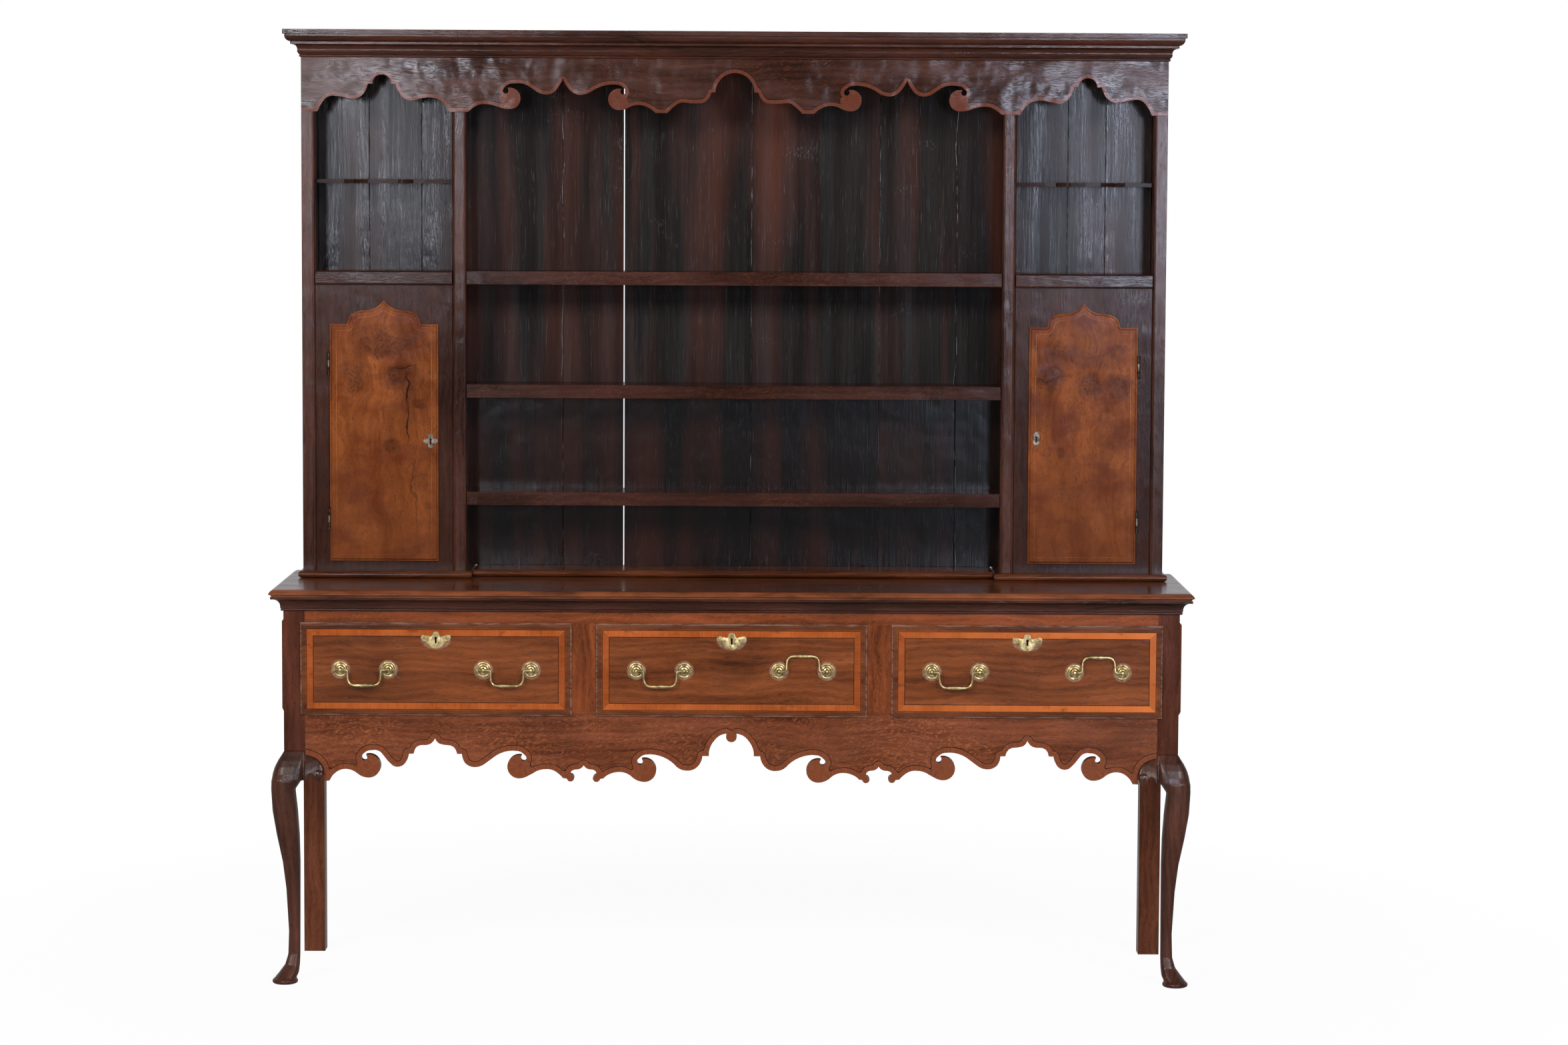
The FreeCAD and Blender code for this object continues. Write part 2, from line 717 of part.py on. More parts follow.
def apron():
    """The apron under the drawers, cut to its shaped lower edge."""
    outline = closed_outline(apron_lower_edge(), post_inner, drawer_foot - knee_top, opening_foot)
    return upright(outline, face, frame_back)


def front_frame():
    """Top rail over the drawers and the two muntins between them, with mortises for the bolts."""
    rail = box(-post_inner, post_inner, face, frame_back, opening_top, top_under)
    for name, x in drawer_centres:
        rail = rail.cut(bolt_space(x, opening_top - 1, opening_top + bolt_throw + 3))
    pieces = [rail]
    for x in (-pitch / 2, pitch / 2):
        half = muntin_width / 2
        pieces.append(box(x - half, x + half, face, frame_back, opening_foot, opening_top))
    return Part.makeCompound(pieces)


def base_sides():
    """Side boards between the front posts and the back legs."""
    low = drawer_foot - side_board_drop
    board = box(carcass_half - side_board_thickness, carcass_half, face + post_size, back_leg_front,
                low, top_under)
    return both(board.cut(turned_to_side(front_bracket())))


def side_panels():
    """Raised panel on each end, shaped like the front of a drawer."""
    half = (back_leg_front - face - post_size) / 2 - side_panel_margin
    panel = lipped_plate(half, drawer_foot, drawer_top, -side_panel_reach, 0, lip_round, lip_fillet)
    panel.rotate(V(0, 0, 0), V(0, 0, 1), 90)
    panel.translate(V(carcass_half, (back_leg_front + face + post_size) / 2, 0))
    return both(panel)


def base_back():
    """Back board of the base."""
    low = drawer_foot - side_board_drop
    inner = carcass_half - back_leg_size
    return box(-inner, inner, carcass_back - back_board_thickness, carcass_back, low, top_under)


def drawer_supports():
    """Runners with their guides, kickers above them, and the two back rails."""
    inner = carcass_half - back_leg_size
    rail_back = carcass_back - back_board_thickness
    rail_front = rail_back - back_rail_thickness
    pieces = [box(-inner, inner, rail_front, rail_back, opening_foot - back_rail_height, opening_foot)]
    pieces.append(box(-inner, inner, rail_front, rail_back, opening_top, top_under))
    side = opening_half - running_gap
    for x in (-pitch / 2, pitch / 2):
        half = pitch / 2 - side
        runner = box(x - half - runner_width, x + half + runner_width, frame_back, rail_front,
                     opening_foot - runner_thickness, opening_foot)
        guide = box(x - half + running_gap, x + half - running_gap, frame_back, rail_front,
                    opening_foot, opening_foot + guide_rise)
        kicker = box(x - half - runner_width, x + half + runner_width, frame_back, rail_front,
                     opening_top, opening_top + kicker_thickness)
        pieces += [runner.fuse(guide), kicker]
    wall = carcass_half - side_board_thickness
    edge = pitch + side
    for sign in (-1, 1):
        runner = box(sign * (edge - runner_width), sign * wall, face + post_size, back_leg_front,
                     opening_foot - runner_thickness, opening_foot)
        tongue = box(sign * (edge - runner_width), sign * min(edge, post_inner),
                     frame_back, face + post_size,
                     opening_foot - runner_thickness, opening_foot)
        guide = box(sign * (edge + running_gap), sign * wall, face + post_size, back_leg_front,
                    opening_foot, opening_foot + guide_rise)
        kicker = box(sign * (edge - runner_width), sign * wall, face + post_size, back_leg_front,
                     opening_top, opening_top + kicker_thickness)
        pieces += [runner.fuse([tongue, guide]), kicker]
    return Part.makeCompound(pieces)


def bolt_space(x, z0, z1):
    """Room for a drawer bolt, with its clearance all round."""
    y = body_back - lock_depth / 2
    half = bolt_width / 2 + bolt_gap
    deep = bolt_thickness / 2 + bolt_gap
    return box(x - half, x + half, y - deep, y + deep, z0, z1)


def dovetails(x_outer, sign, z_low, z_high):
    """Tails at the front end of a drawer side, wider towards the tip."""
    pieces = []
    step = (z_high - z_low) / tail_count
    for index in range(tail_count):
        middle = z_low + (index + 0.5) * step
        wide = step * 0.3 + tail_splay
        thin = step * 0.3
        inner = x_outer - sign * drawer_side_thickness
        points = [V(inner, body_back, middle - thin), V(inner, body_back, middle + thin),
                  V(inner, body_back - tail_length, middle + wide),
                  V(inner, body_back - tail_length, middle - wide)]
        outline = Part.Face(Part.makePolygon(points + points[:1]))
        tail = outline.extrude(V(sign * drawer_side_thickness, 0, 0))
        pieces.append(tail)
    return pieces


def drawer_front(x):
    """Lipped drawer front with housings for the tails, the crossbanding and the lock."""
    low = opening_foot + seat_gap
    high = opening_top - running_gap
    half = opening_half - running_gap
    plate = lipped_plate(drawer_width / 2, drawer_foot, drawer_top, drawer_face, face - seat_gap,
                         lip_round, lip_fillet)
    body = box(-half, half, face - seat_gap, body_back, low, high)
    solid = plate.fuse(body)
    for sign in (-1, 1):
        solid = solid.cut(Part.makeCompound(dovetails(sign * half, sign, low, high)))
    lock = box(-lock_width / 2, lock_width / 2, body_back - lock_depth, body_back, high - lock_height, high)
    solid = solid.cut(lock)
    solid.translate(V(x, 0, 0))
    solid = solid.cut(drawer_band(x))
    return solid.cut(keyhole(x, drawer_top - escutcheon_drop + 4, drawer_face - 1, body_back))


def drawer_band(x):
    """Crossbanding let into a drawer front, as a mitred frame of four strips."""
    half = drawer_width / 2 - band_border
    low = drawer_foot + band_border
    high = drawer_top - band_border
    deep = drawer_face + inlay_depth
    outer = box(x - half, x + half, drawer_face, deep, low, high)
    inner = box(x - half + band_width, x + half - band_width, drawer_face, deep,
                low + band_width, high - band_width)
    return outer.cut(inner)


def drawer_box(x):
    """Sides with dovetailed ends, back and bottom of a drawer."""
    low = opening_foot + seat_gap
    high = opening_top - running_gap
    half = opening_half - running_gap
    end = face + drawer_length
    floor = low + drawer_bottom_rise
    pieces = []
    for sign in (-1, 1):
        side = box(sign * half, sign * (half - drawer_side_thickness), body_back, end, low, high)
        side = side.fuse(dovetails(sign * half, sign, low, high))
        pieces.append(side.removeSplitter())
    inner = half - drawer_side_thickness
    pieces.append(box(-inner, inner, end - drawer_side_thickness, end,
                      floor + drawer_bottom_thickness, high - drawer_back_drop))
    pieces.append(box(-inner, inner, body_back, end, floor, floor + drawer_bottom_thickness))
    group = Part.makeCompound(pieces)
    group.translate(V(x, 0, 0))
    return group


def handle_places(x):
    """Centres of the four roses on a drawer."""
    places = []
    for side in (-1, 1):
        for end in (-1, 1):
            places.append(x + side * handle_offset + end * handle_centres / 2)
    return places


def handle_post(x, inward):
    """Round stepped rose and, in one piece with it, the turned knob that takes the bail."""
    t = rose_thickness
    knob = knob_radius
    stations = [(0, rose_radius), (t * 0.35, rose_radius), (t, rose_radius * 0.36),
                (post_reach - knob * 0.9, knob * 0.55), (post_reach - knob * 0.2, knob),
                (post_reach + knob, knob * 0.5)]
    turned = faceted(V(x, drawer_face, rose_height), V(0, -1, 0), stations, rose_sides)
    bore = tool_radius(bail_end_radius + bail_clearance, small_sides)
    eye = faceted(V(x - inward * 2, bail_axis_y, rose_height), V(inward, 0, 0),
                  [(0, bore), (3 * knob, bore)], small_sides)
    return turned.cut(eye)


def shield():
    """Half outline of a drawer's key plate: domed top, round ear and full belly."""
    w = escutcheon_width / 2
    h = escutcheon_height / 2
    top = run([(0, h, 0), (0.24 * w, 0.56 * h, -84), (0.37 * w, 0.42 * h, 0), (0.78 * w, 0.62 * h, 0),
               (w, 0.25 * h, -90), (0.78 * w, -0.12 * h, 180), (0.64 * w, -0.17 * h, 190)])
    return top + run([(0.64 * w, -0.17 * h, -108), (0, -h, 180)])


def drawer_brass(x):
    """Roses with their knobs, and the key plate, of one drawer."""
    pieces = []
    for index, centre in enumerate(handle_places(x)):
        inward = 1 if index % 2 == 0 else -1
        pieces.append(handle_post(centre, inward))
    half = shield()
    outline = half + [edge.mirror(V(0, 0, 0), V(1, 0, 0)) for edge in half]
    plate = upright(joined(outline), drawer_face - plate_thickness, drawer_face)
    plate.translate(V(x, 0, drawer_top - escutcheon_drop))
    pieces.append(plate.cut(keyhole(x, drawer_top - escutcheon_drop + 4, drawer_face - 5, drawer_face + 1)))
    return Part.makeCompound(pieces)


def bail_stations():
    """Half of a bail hanging in the XZ plane: where it is, which way it runs, how thick it is."""
    reach = handle_centres / 2
    neck = reach - knob_radius
    bend = 5.0
    side = neck - 2 * bend
    drop = bail_drop
    thin = bail_end_radius
    wire = bail_wire_radius
    belly = bail_belly_radius
    return [(reach - 0.5, 0, 180, thin), (neck - bend, 0, 180, thin), (side + 1.5, -1.5, 225, thin),
            (side, -bend, 268, thin), (side - 1, -drop * 0.5, 262, wire),
            (side * 0.9, -drop * 0.83, 235, wire), (side * 0.62, -drop, 184, wire * 1.15),
            (0, -drop, 180, belly)]


def bail(x, raised):
    """A brass bail, hanging or leaning up against the drawer front."""
    half = bail_stations()
    whole = half + [(-px, pz, -angle, radius) for px, pz, angle, radius in reversed(half[:-1])]
    rings = [polygon(V(px, 0, pz), heading(angle), radius, small_sides) for px, pz, angle, radius in whole]
    solid = skinned(rings)
    if raised:
        solid.rotate(V(0, 0, 0), V(-1, 0, 0), 180 + bail_lean)
    solid.translate(V(x, bail_axis_y, rose_height))
    return solid


def drawer_lock(x):
    """Iron lock let into the back of a drawer front."""
    high = opening_top - running_gap
    case = box(x - lock_width / 2, x + lock_width / 2, body_back - lock_depth, body_back,
               high - lock_height, high)
    return case.cut(bolt_space(x, high - bolt_length - 2 * bolt_gap, high + 1))


def drawer_bolt(x):
    """Lock bolt, drawn down inside the lock."""
    high = opening_top - running_gap - bolt_gap
    y = body_back - lock_depth / 2
    return box(x - bolt_width / 2, x + bolt_width / 2, y - bolt_thickness / 2, y + bolt_thickness / 2,
               high - bolt_length, high)


def rack_uprights():
    """Two sides and two partitions of the rack, standing on the soles."""
    side = box(rack_inner, rack_half, board_front, rack_back, rack_foot, total_height - rack_top_rebate)
    half = rack_board / 2
    partition = box(partition_centre - half, partition_centre + half, board_front, backs_front,
                    rack_foot, total_height - rack_top_rebate - rack_top_thickness)
    return Part.makeCompound([side, mirrored(side), partition, mirrored(partition)])


def beaded_strip(x0, x1, z0, z1, left, right):
    """Facing strip with a quarter-round bead on one or both long edges."""
    r = facing_bead
    y0 = rack_front
    y1 = board_front
    k = r * (1 - math.sqrt(0.5))
    edges = []
    start = V(x0 + (r if left else 0), y0, z0)
    end = V(x1 - (r if right else 0), y0, z0)
    edges.append(Part.makeLine(start, end))
    if right:
        step = V(x1 - r, y0 + 1, z0)
        edges.append(Part.makeLine(end, step))
        edges.append(Part.Arc(step, V(x1 - k, y0 + 1 + k, z0), V(x1, y0 + 1 + r, z0)).toShape())
        end = V(x1, y0 + 1 + r, z0)
    edges.append(Part.makeLine(end, V(x1, y1, z0)))
    edges.append(Part.makeLine(V(x1, y1, z0), V(x0, y1, z0)))
    if left:
        low = V(x0, y0 + 1 + r, z0)
        step = V(x0 + r, y0 + 1, z0)
        edges.append(Part.makeLine(V(x0, y1, z0), low))
        edges.append(Part.Arc(low, V(x0 + k, y0 + 1 + k, z0), step).toShape())
        edges.append(Part.makeLine(step, start))
    else:
        edges.append(Part.makeLine(V(x0, y1, z0), start))
    return Part.Face(Part.Wire(edges)).extrude(V(0, 0, z1 - z0))


def upright_facings():
    """Beaded facings on the front edges of the sides and partitions."""
    outer = beaded_strip(outer_facing_edge, rack_half, rack_foot, frieze_foot, True, False)
    half = inner_facing_width / 2
    inner = beaded_strip(partition_centre - half, partition_centre + half, rack_foot, frieze_foot,
                         True, True)
    return Part.makeCompound([outer, mirrored(outer), inner, mirrored(inner)])


def long_shelves():
    """Three shelves between the partitions, each with a deeper facing on its front edge."""
    reach = partition_centre - rack_board / 2
    facing_reach = partition_centre - inner_facing_width / 2
    pieces = []
    for top in shelf_tops:
        pieces.append(box(-reach, reach, board_front, backs_front, top - shelf_thickness, top))
        pieces.append(box(-facing_reach, facing_reach, rack_front + 1, board_front,
                          top - shelf_facing_height, top))
    return Part.makeCompound(pieces)


def back_board(x0, x1, top):
    """One upright back board, with the front arrises taken off its two long edges."""
    r = back_seam_round
    ring = [V(x0, rack_back, rack_foot), V(x1, rack_back, rack_foot), V(x1, backs_front + r, rack_foot),
            V(x1 - r, backs_front, rack_foot), V(x0 + r, backs_front, rack_foot),
            V(x0, backs_front + r, rack_foot)]
    face_wire = Part.makePolygon(ring + [ring[0]])
    return Part.Face(face_wire).extrude(V(0, 0, top - rack_foot))


def rack_backs():
    """Upright back boards of uneven width, butted together, with one seam shrunk open."""
    edges = [-rack_inner] + list(back_seams) + [rack_inner]
    top = total_height - rack_top_rebate - rack_top_thickness
    pieces = []
    for left, right in zip(edges, edges[1:]):
        x0 = left + open_seam_gap / 2 if left == open_seam else left
        x1 = right - open_seam_gap / 2 if right == open_seam else right
        pieces.append(back_board(x0, x1, top))
    return Part.makeCompound(pieces)


def rack_top():
    """Top board of the rack, behind the cornice."""
    return box(-rack_inner, rack_inner, board_front, rack_back,
               total_height - rack_top_rebate - rack_top_thickness, total_height - rack_top_rebate)


def cornice():
    """Cornice: fillet, ovolo, fillet, cavetto and bead, mitred round the rack."""
    reach = cornice_reach
    low = cornice_foot
    high = total_height
    segments = [(reach - 1, low, 0), (reach - 1, low + 6.4, 0.4), (reach - 4, low + 6.4, 0),
                (reach - 7.5, low + 11.7, 0), (reach - 15, low + 27.7, -0.2), (reach - 20.5, low + 27.7, 0),
                (reach - 20.5, low + 33, 0), (reach - 32, high - cornice_top_fillet - 3, 0.2),
                (reach - 32, high - cornice_top_fillet, 0), (0, high - cornice_top_fillet, 0), (0, high, 0)]
    half = rack_half + reach
    return mitred_moulding(half, rack_front - reach, rack_back, reach, segments)


def frieze_lower_edge():
    """Right half of the frieze's shaped edge, from the middle arch to the side."""
    z = frieze_foot
    share = partition_centre / 597.0
    r = frieze_scroll_radius
    eye = scroll_eye_radius * 0.96
    arch = 42.0 * share
    edges = run([(0, z + 45 + arch, 0), (arch, z + 45, -90)])
    edges.append(line(arch, z + 45, 51 * share, z + 45))
    edges += run([(51 * share, z + 45, -78), (62 * share, z + 26, -42), (84 * share, z + 21, 0),
                  (112 * share, z + 23, 2), (134 * share, z + 12, -42), (146.5 * share, z, -52)])
    edges.append(line(146.5 * share, z, 172 * share, z))
    throat, body = scroll(251 * share, z + 29, r, eye, -1)
    returning = [(px, pz, angle + 180) for px, pz, angle in reversed(body)]
    edges += run([(172 * share, z, 50), (186 * share, z + 11, 30), (209 * share, z + 17, 0), returning[0]])
    edges += run(returning)
    inward = [(px, pz, angle + 180) for px, pz, angle in reversed(throat)]
    edges += run(inward + [(304 * share, z + 50, -40), (333 * share, z + 38, 0), (357 * share, z + 48, 48),
                           (372.5 * share, z + 71, 64)])
    throat, body = scroll(487 * share, z + 30, r, eye, 1)
    edges += run([(372.5 * share, z + 71, -64), (387 * share, z + 48, -48), (409 * share, z + 38.5, 0),
                  (441 * share, z + 53, 38), throat[0]])
    edges += run(throat)
    edges += run(body + [(543 * share, z + 17.5, 0), (564 * share, z + 11, -32), (578 * share, z, -50)])
    return edges + frieze_side_bay()


def frieze_side_bay():
    """The frieze over a spice niche: foot, lobe, round arch between steps, lobe and foot."""
    z = frieze_foot
    start = partition_centre - 19 * partition_centre / 597.0
    end = rack_half
    share = (end - start) / (938.5 - 578.0)

    def at(x):
        return start + (x - 578.0) * share

    arch = 20.0 * share
    edges = [line(start, z, at(618), z)]
    edges += run([(at(618), z, 62), (at(634), z + 22, 38), (at(658), z + 31, 4), (at(680), z + 28.5, -12),
                  (at(701), z + 24, 0), (at(724), z + 37, 50), (at(734.5), z + 60, 82)])
    edges.append(line(at(734.5), z + 60, at(744), z + 60))
    edges += run([(at(764) - arch, z + 60, 90), (at(764), z + 60 + arch, 0), (at(764) + arch, z + 60, -90)])
    edges.append(line(at(784), z + 60, at(794), z + 60))
    edges += run([(at(794), z + 60, -80), (at(806), z + 36, -48), (at(829), z + 27, 0),
                  (at(850), z + 31.5, 10), (at(870), z + 34, 0), (at(890), z + 23, -50), (at(903), z, -76)])
    edges.append(line(at(903), z, end, z))
    return edges


def frieze():
    """The frieze under the cornice, cut to its shaped lower edge."""
    outline = closed_outline(frieze_lower_edge(), rack_half, frieze_foot, total_height - rack_top_rebate)
    return upright(outline, rack_front, board_front)


def sole():
    """Right sole board under a cupboard, with a half-round nosing at its front and ends."""
    x0 = bay_inner - inner_facing_width - sole_inner_reach
    x1 = rack_half + sole_side_reach
    r = sole_thickness / 2
    segments = [(r, base_height, 0), (0, base_height + r, 0.207), (r, rack_foot, 0.207)]
    board = moulded_slab((x1 - x0) / 2, rack_front - sole_nosing, rack_back, segments)
    board.translate(V((x0 + x1) / 2, 0, 0))
    return board


def bottom_board():
    """Low board between the soles, with a rounded front edge."""
    reach = bay_inner - inner_facing_width - sole_inner_reach
    y0 = rack_front + bottom_board_inset
    r = sole_thickness / 2
    block = box(-reach, reach, y0 + r, rack_back, base_height, rack_foot)
    nose = Part.makeCylinder(r, 2 * reach, V(-reach, y0 + r, base_height + r), V(1, 0, 0))
    return block.fuse(nose).removeSplitter()


def cupboard_tops():
    """Boards over the cupboards, each with a rounded edging on its front."""
    board = box(partition_centre + rack_board / 2, rack_inner, board_front, backs_front,
                cupboard_top - shelf_thickness, cupboard_top)
    r = 4.0
    y0 = rack_front - cupboard_top_reach
    low = cupboard_top - cupboard_top_height
    k = r * (1 - math.sqrt(0.5))
    x = bay_inner
    edges = [Part.makeLine(V(x, board_front, low), V(x, y0 + r, low))]
    edges.append(Part.Arc(V(x, y0 + r, low), V(x, y0 + k, low + k), V(x, y0, low + r)).toShape())
    edges.append(Part.makeLine(V(x, y0, low + r), V(x, y0, cupboard_top - r)))
    edges.append(Part.Arc(V(x, y0, cupboard_top - r), V(x, y0 + k, cupboard_top - k),
                          V(x, y0 + r, cupboard_top)).toShape())
    edges.append(Part.makeLine(V(x, y0 + r, cupboard_top), V(x, board_front, cupboard_top)))
    edges.append(Part.makeLine(V(x, board_front, cupboard_top), V(x, board_front, low)))
    edging = Part.Face(Part.Wire(edges)).extrude(V(outer_facing_edge - bay_inner, 0, 0))
    return Part.makeCompound([board, mirrored(board), edging, mirrored(edging)])


def door_outline(inset):
    """Outline of a cupboard door: square shoulders under an ogee arch, drawn in by an inset."""
    z = door_shoulder
    w = door_half
    step = w - 38.0
    rise = door_arch_rise
    half = run([(step, z, 92), (step - 3, z + 0.2 * rise, 108), (step - 16, z + 0.47 * rise, 150),
                (0.28 * w, z + 0.57 * rise, 170), (0, z + rise, 124)])
    half.insert(0, line(w, z, step, z))
    half.append(line(w, z, w, door_foot))
    edges = half + [edge.mirror(V(0, 0, 0), V(1, 0, 0)) for edge in half]
    edges.append(line(-w, door_foot, w, door_foot))
    whole = Part.Face(joined(edges))
    if inset > 0:
        whole = whole.makeOffset2D(-inset)
    return whole


def door_slice(inset, y0, y1):
    """A layer of the door's outline between two depths."""
    layer = door_outline(inset).extrude(V(0, y1 - y0, 0))
    layer.translate(V(0, y0, 0))
    return layer


def cupboard_frame():
    """Right front frame of a cupboard, cut to the arch of its door."""
    top = cupboard_top - cupboard_top_height
    plate = box(bay_inner, outer_facing_edge, cupboard_face, board_front, rack_foot, top)
    behind = box(partition_centre + rack_board / 2, rack_inner, board_front,
                 cupboard_face + cupboard_frame_thickness, rack_foot, cupboard_top - shelf_thickness)
    hole = door_slice(door_lip_overlap, cupboard_face - 1, cupboard_face + cupboard_frame_thickness + 1)
    hole.translate(V(door_centre, 0, 0))
    return plate.fuse(behind).cut(hole).removeSplitter()


def hinge_places():
    """Middle heights of the two hinges of a door."""
    return (door_foot + hinge_low, door_foot + hinge_high)


def frame_leaf_space():
    """Where the frame's hinge leaves are let in, on the right."""
    spaces = []
    for z in hinge_places():
        spaces.append(box(hinge_x - 1, hinge_x - 1 + hinge_leaf_width,
                          cupboard_face, cupboard_face + hinge_leaf,
                          z - hinge_length / 2, z + hinge_length / 2))
    return spaces


def cupboard_frames():
    """Both cupboard frames, with their mortises for the door bolts and hinge leaves."""
    right = cupboard_frame().cut(Part.makeCompound(frame_leaf_space()))
    left = mirrored(right)
    right = right.cut(door_bolt_space(door_foot + right_plate_rise, 3))
    left = left.cut(mirrored(door_bolt_space(door_foot + left_plate_rise, 3)))
    return Part.makeCompound([left, right])


def knuckle(z0, z1):
    """One knuckle of a hinge."""
    stations = [(0, hinge_radius), (z1 - z0, hinge_radius)]
    return faceted(V(hinge_x, hinge_y, z0), V(0, 0, 1), stations, hinge_sides)


def frame_hinges():
    """Frame leaves with their outer knuckles and, in one piece with them, the pins."""
    pieces = []
    third = hinge_length / 3
    for z in hinge_places():
        low = z - hinge_length / 2
        leaf = box(hinge_x - 1, hinge_x - 1 + hinge_leaf_width, cupboard_face, cupboard_face + hinge_leaf,
                   low, low + hinge_length)
        pin = faceted(V(hinge_x, hinge_y, low), V(0, 0, 1),
                      [(0, hinge_pin_radius), (hinge_length, hinge_pin_radius)], small_sides)
        parts = [pin]
        for start in (low, low + 2 * third):
            parts.append(box(hinge_x - 1, hinge_x + 1, hinge_y, cupboard_face, start, start + third))
            parts.append(knuckle(start, start + third))
        pieces.append(leaf.fuse(parts).removeSplitter())
    group = Part.makeCompound(pieces)
    return Part.makeCompound(group.Solids + mirrored(group).Solids)


def door_leaves():
    """Middle knuckles and leaves that ride on the right-hand door."""
    pieces = []
    third = hinge_length / 3
    radius = tool_radius(hinge_pin_radius + hinge_pin_gap, small_sides)
    for z in hinge_places():
        low = z - hinge_length / 2 + third + bolt_gap
        high = z + hinge_length / 2 - third - bolt_gap
        edge = door_centre + door_half
        y0 = cupboard_face - seat_gap - hinge_leaf
        leaf = box(edge - door_lip_overlap + 1, hinge_x, y0, y0 + hinge_leaf, low, high)
        bore = faceted(V(hinge_x, hinge_y, low - 1), V(0, 0, 1),
                       [(0, radius), (high - low + 2, radius)], small_sides)
        pieces.append(knuckle(low, high).fuse(leaf).cut(bore))
    return pieces


def door_bolt_space(z, beyond):
    """Room for a door bolt from its lock to past the inner edge of the frame."""
    y = door_lock_y()
    deep = bolt_thickness / 2 + bolt_gap
    tall = door_bolt_height / 2 + bolt_gap
    edge = door_centre - door_half + door_lip_overlap
    return box(edge - door_bolt_throw - beyond, edge + 12, y - deep, y + deep, z - tall, z + tall)


def door_lock_y():
    """Middle depth of the lock in a door."""
    return cupboard_face + door_body - door_lock_depth / 2 - seat_gap


def door(plate_rise):
    """Right-hand door: lipped front in the arched outline and the body inside the frame."""
    back_y = cupboard_face - seat_gap
    step = door_face + door_lip_round * 0.6
    lip = door_slice(0, step, back_y)
    raised = door_slice(door_lip_round, door_face, step)
    body = door_slice(door_lip_overlap + door_clearance, back_y, back_y + door_body)
    solid = lip.fuse([raised, body])
    solid.translate(V(door_centre, 0, 0))
    z = door_foot + plate_rise
    x = door_centre - door_half + door_lip_overlap + door_clearance
    y = door_lock_y()
    half = door_lock_depth / 2
    solid = solid.cut(box(x, x + door_lock_width, y - half, y + half,
                          z - door_lock_height / 2, z + door_lock_height / 2))
    solid = solid.cut(keyhole(door_centre - door_half + plate_inset, z + 3, door_face - 1, cupboard_face + 1))
    solid = solid.cut(Part.makeCompound(door_leaves()))
    tall = hinge_length + 2 * bolt_gap
    radius = hinge_radius + bolt_gap
    for middle in hinge_places():
        notch = faceted(V(hinge_x, hinge_y, middle - tall / 2), V(0, 0, 1),
                        [(0, radius), (tall, radius)], hinge_sides)
        solid = solid.cut(notch)
    return solid


def trefoil(x, z):
    """Plate of overlapping rounds on the left-hand door."""
    leaf = 6.0
    start = V(x, door_face - plate_thickness, z)
    deep = [(0, 1), (plate_thickness, 1)]
    plate = faceted(start, V(0, 1, 0), [(at, 1.5 * leaf) for at, _ in deep], rose_sides)
    for dx, dz in ((0, 10), (-10, 0), (10, 0), (0, -10)):
        leaf_start = start.add(V(dx, 0, dz))
        plate = plate.fuse(faceted(leaf_start, V(0, 1, 0), [(at, leaf) for at, _ in deep], small_sides))
    return plate.removeSplitter()


def small_plate(x, z):
    """Small oblong plate of the right-hand door, rounded at top and foot."""
    y0 = door_face - plate_thickness
    half = 7.0
    tall = 8.0
    plate = box(x - half, x + half, y0, door_face, z - tall, z + tall)
    for dz in (-tall, tall):
        end = faceted(V(x, y0, z + dz), V(0, 1, 0), [(0, half), (plate_thickness, half)], rose_sides)
        plate = plate.fuse(end)
    return plate.removeSplitter()


def door_brass(plate_rise, make_plate):
    """Key plate, lock case and hinge leaves of a right-hand door."""
    x = door_centre - door_half + plate_inset
    z = door_foot + plate_rise
    plate = make_plate(x, z).cut(keyhole(x, z + 3, door_face - 5, door_face + 1))
    return Part.makeCompound([plate, door_lock(plate_rise)] + door_leaves())


def door_lock(plate_rise):
    """Lock let into the back of a right-hand door."""
    z = door_foot + plate_rise
    x = door_centre - door_half + door_lip_overlap + door_clearance
    y = door_lock_y()
    half = door_lock_depth / 2
    case = box(x, x + door_lock_width, y - half, y + half, z - door_lock_height / 2, z + door_lock_height / 2)
    tall = door_bolt_height / 2 + bolt_gap
    deep = bolt_thickness / 2 + bolt_gap
    return case.cut(box(x - 1, x + bolt_length + 2 * bolt_gap, y - deep, y + deep, z - tall, z + tall))


def door_bolt(plate_rise):
    """Bolt of a right-hand door's lock, drawn in."""
    z = door_foot + plate_rise
    x = door_centre - door_half + door_lip_overlap + door_clearance + bolt_gap
    y = door_lock_y()
    return box(x, x + bolt_length, y - bolt_thickness / 2, y + bolt_thickness / 2,
               z - door_bolt_height / 2, z + door_bolt_height / 2)


def spice_shelves():
    """Thin shelf in each niche, its front swelling to a round middle between ogees."""
    x0 = partition_centre + rack_board / 2
    x1 = rack_inner
    middle = (x0 + x1) / 2
    y = rack_front + spice_shelf_inset
    out = spice_shelf_bulge
    half = spice_bulge_width / 2
    ogee = spice_ogee_run
    right = run([(middle, y - out, 0), (middle + half, y - out * 0.35, 38), (middle + half + 3, y, 90)])
    right.append(line(middle + half + 3, y, middle + half + ogee, y + 4))
    right.append(line(middle + half + ogee, y + 4, x1, y + 4))
    left = [edge.mirror(V(middle, 0, 0), V(1, 0, 0)) for edge in right]
    edges = right + left
    edges.append(line(x1, y + 4, x1, backs_front))
    edges.append(line(x0, y + 4, x0, backs_front))
    edges.append(line(x0, backs_front, x1, backs_front))
    shelf = Part.Face(joined(edges)).extrude(V(0, spice_shelf_thickness, 0))
    shelf.rotate(V(0, 0, 0), V(1, 0, 0), 90)
    shelf = shelf.mirror(V(0, 0, 0), V(0, 1, 0))
    shelf.translate(V(0, 0, spice_shelf_height - shelf.BoundBox.ZMax))
    return both(shelf)


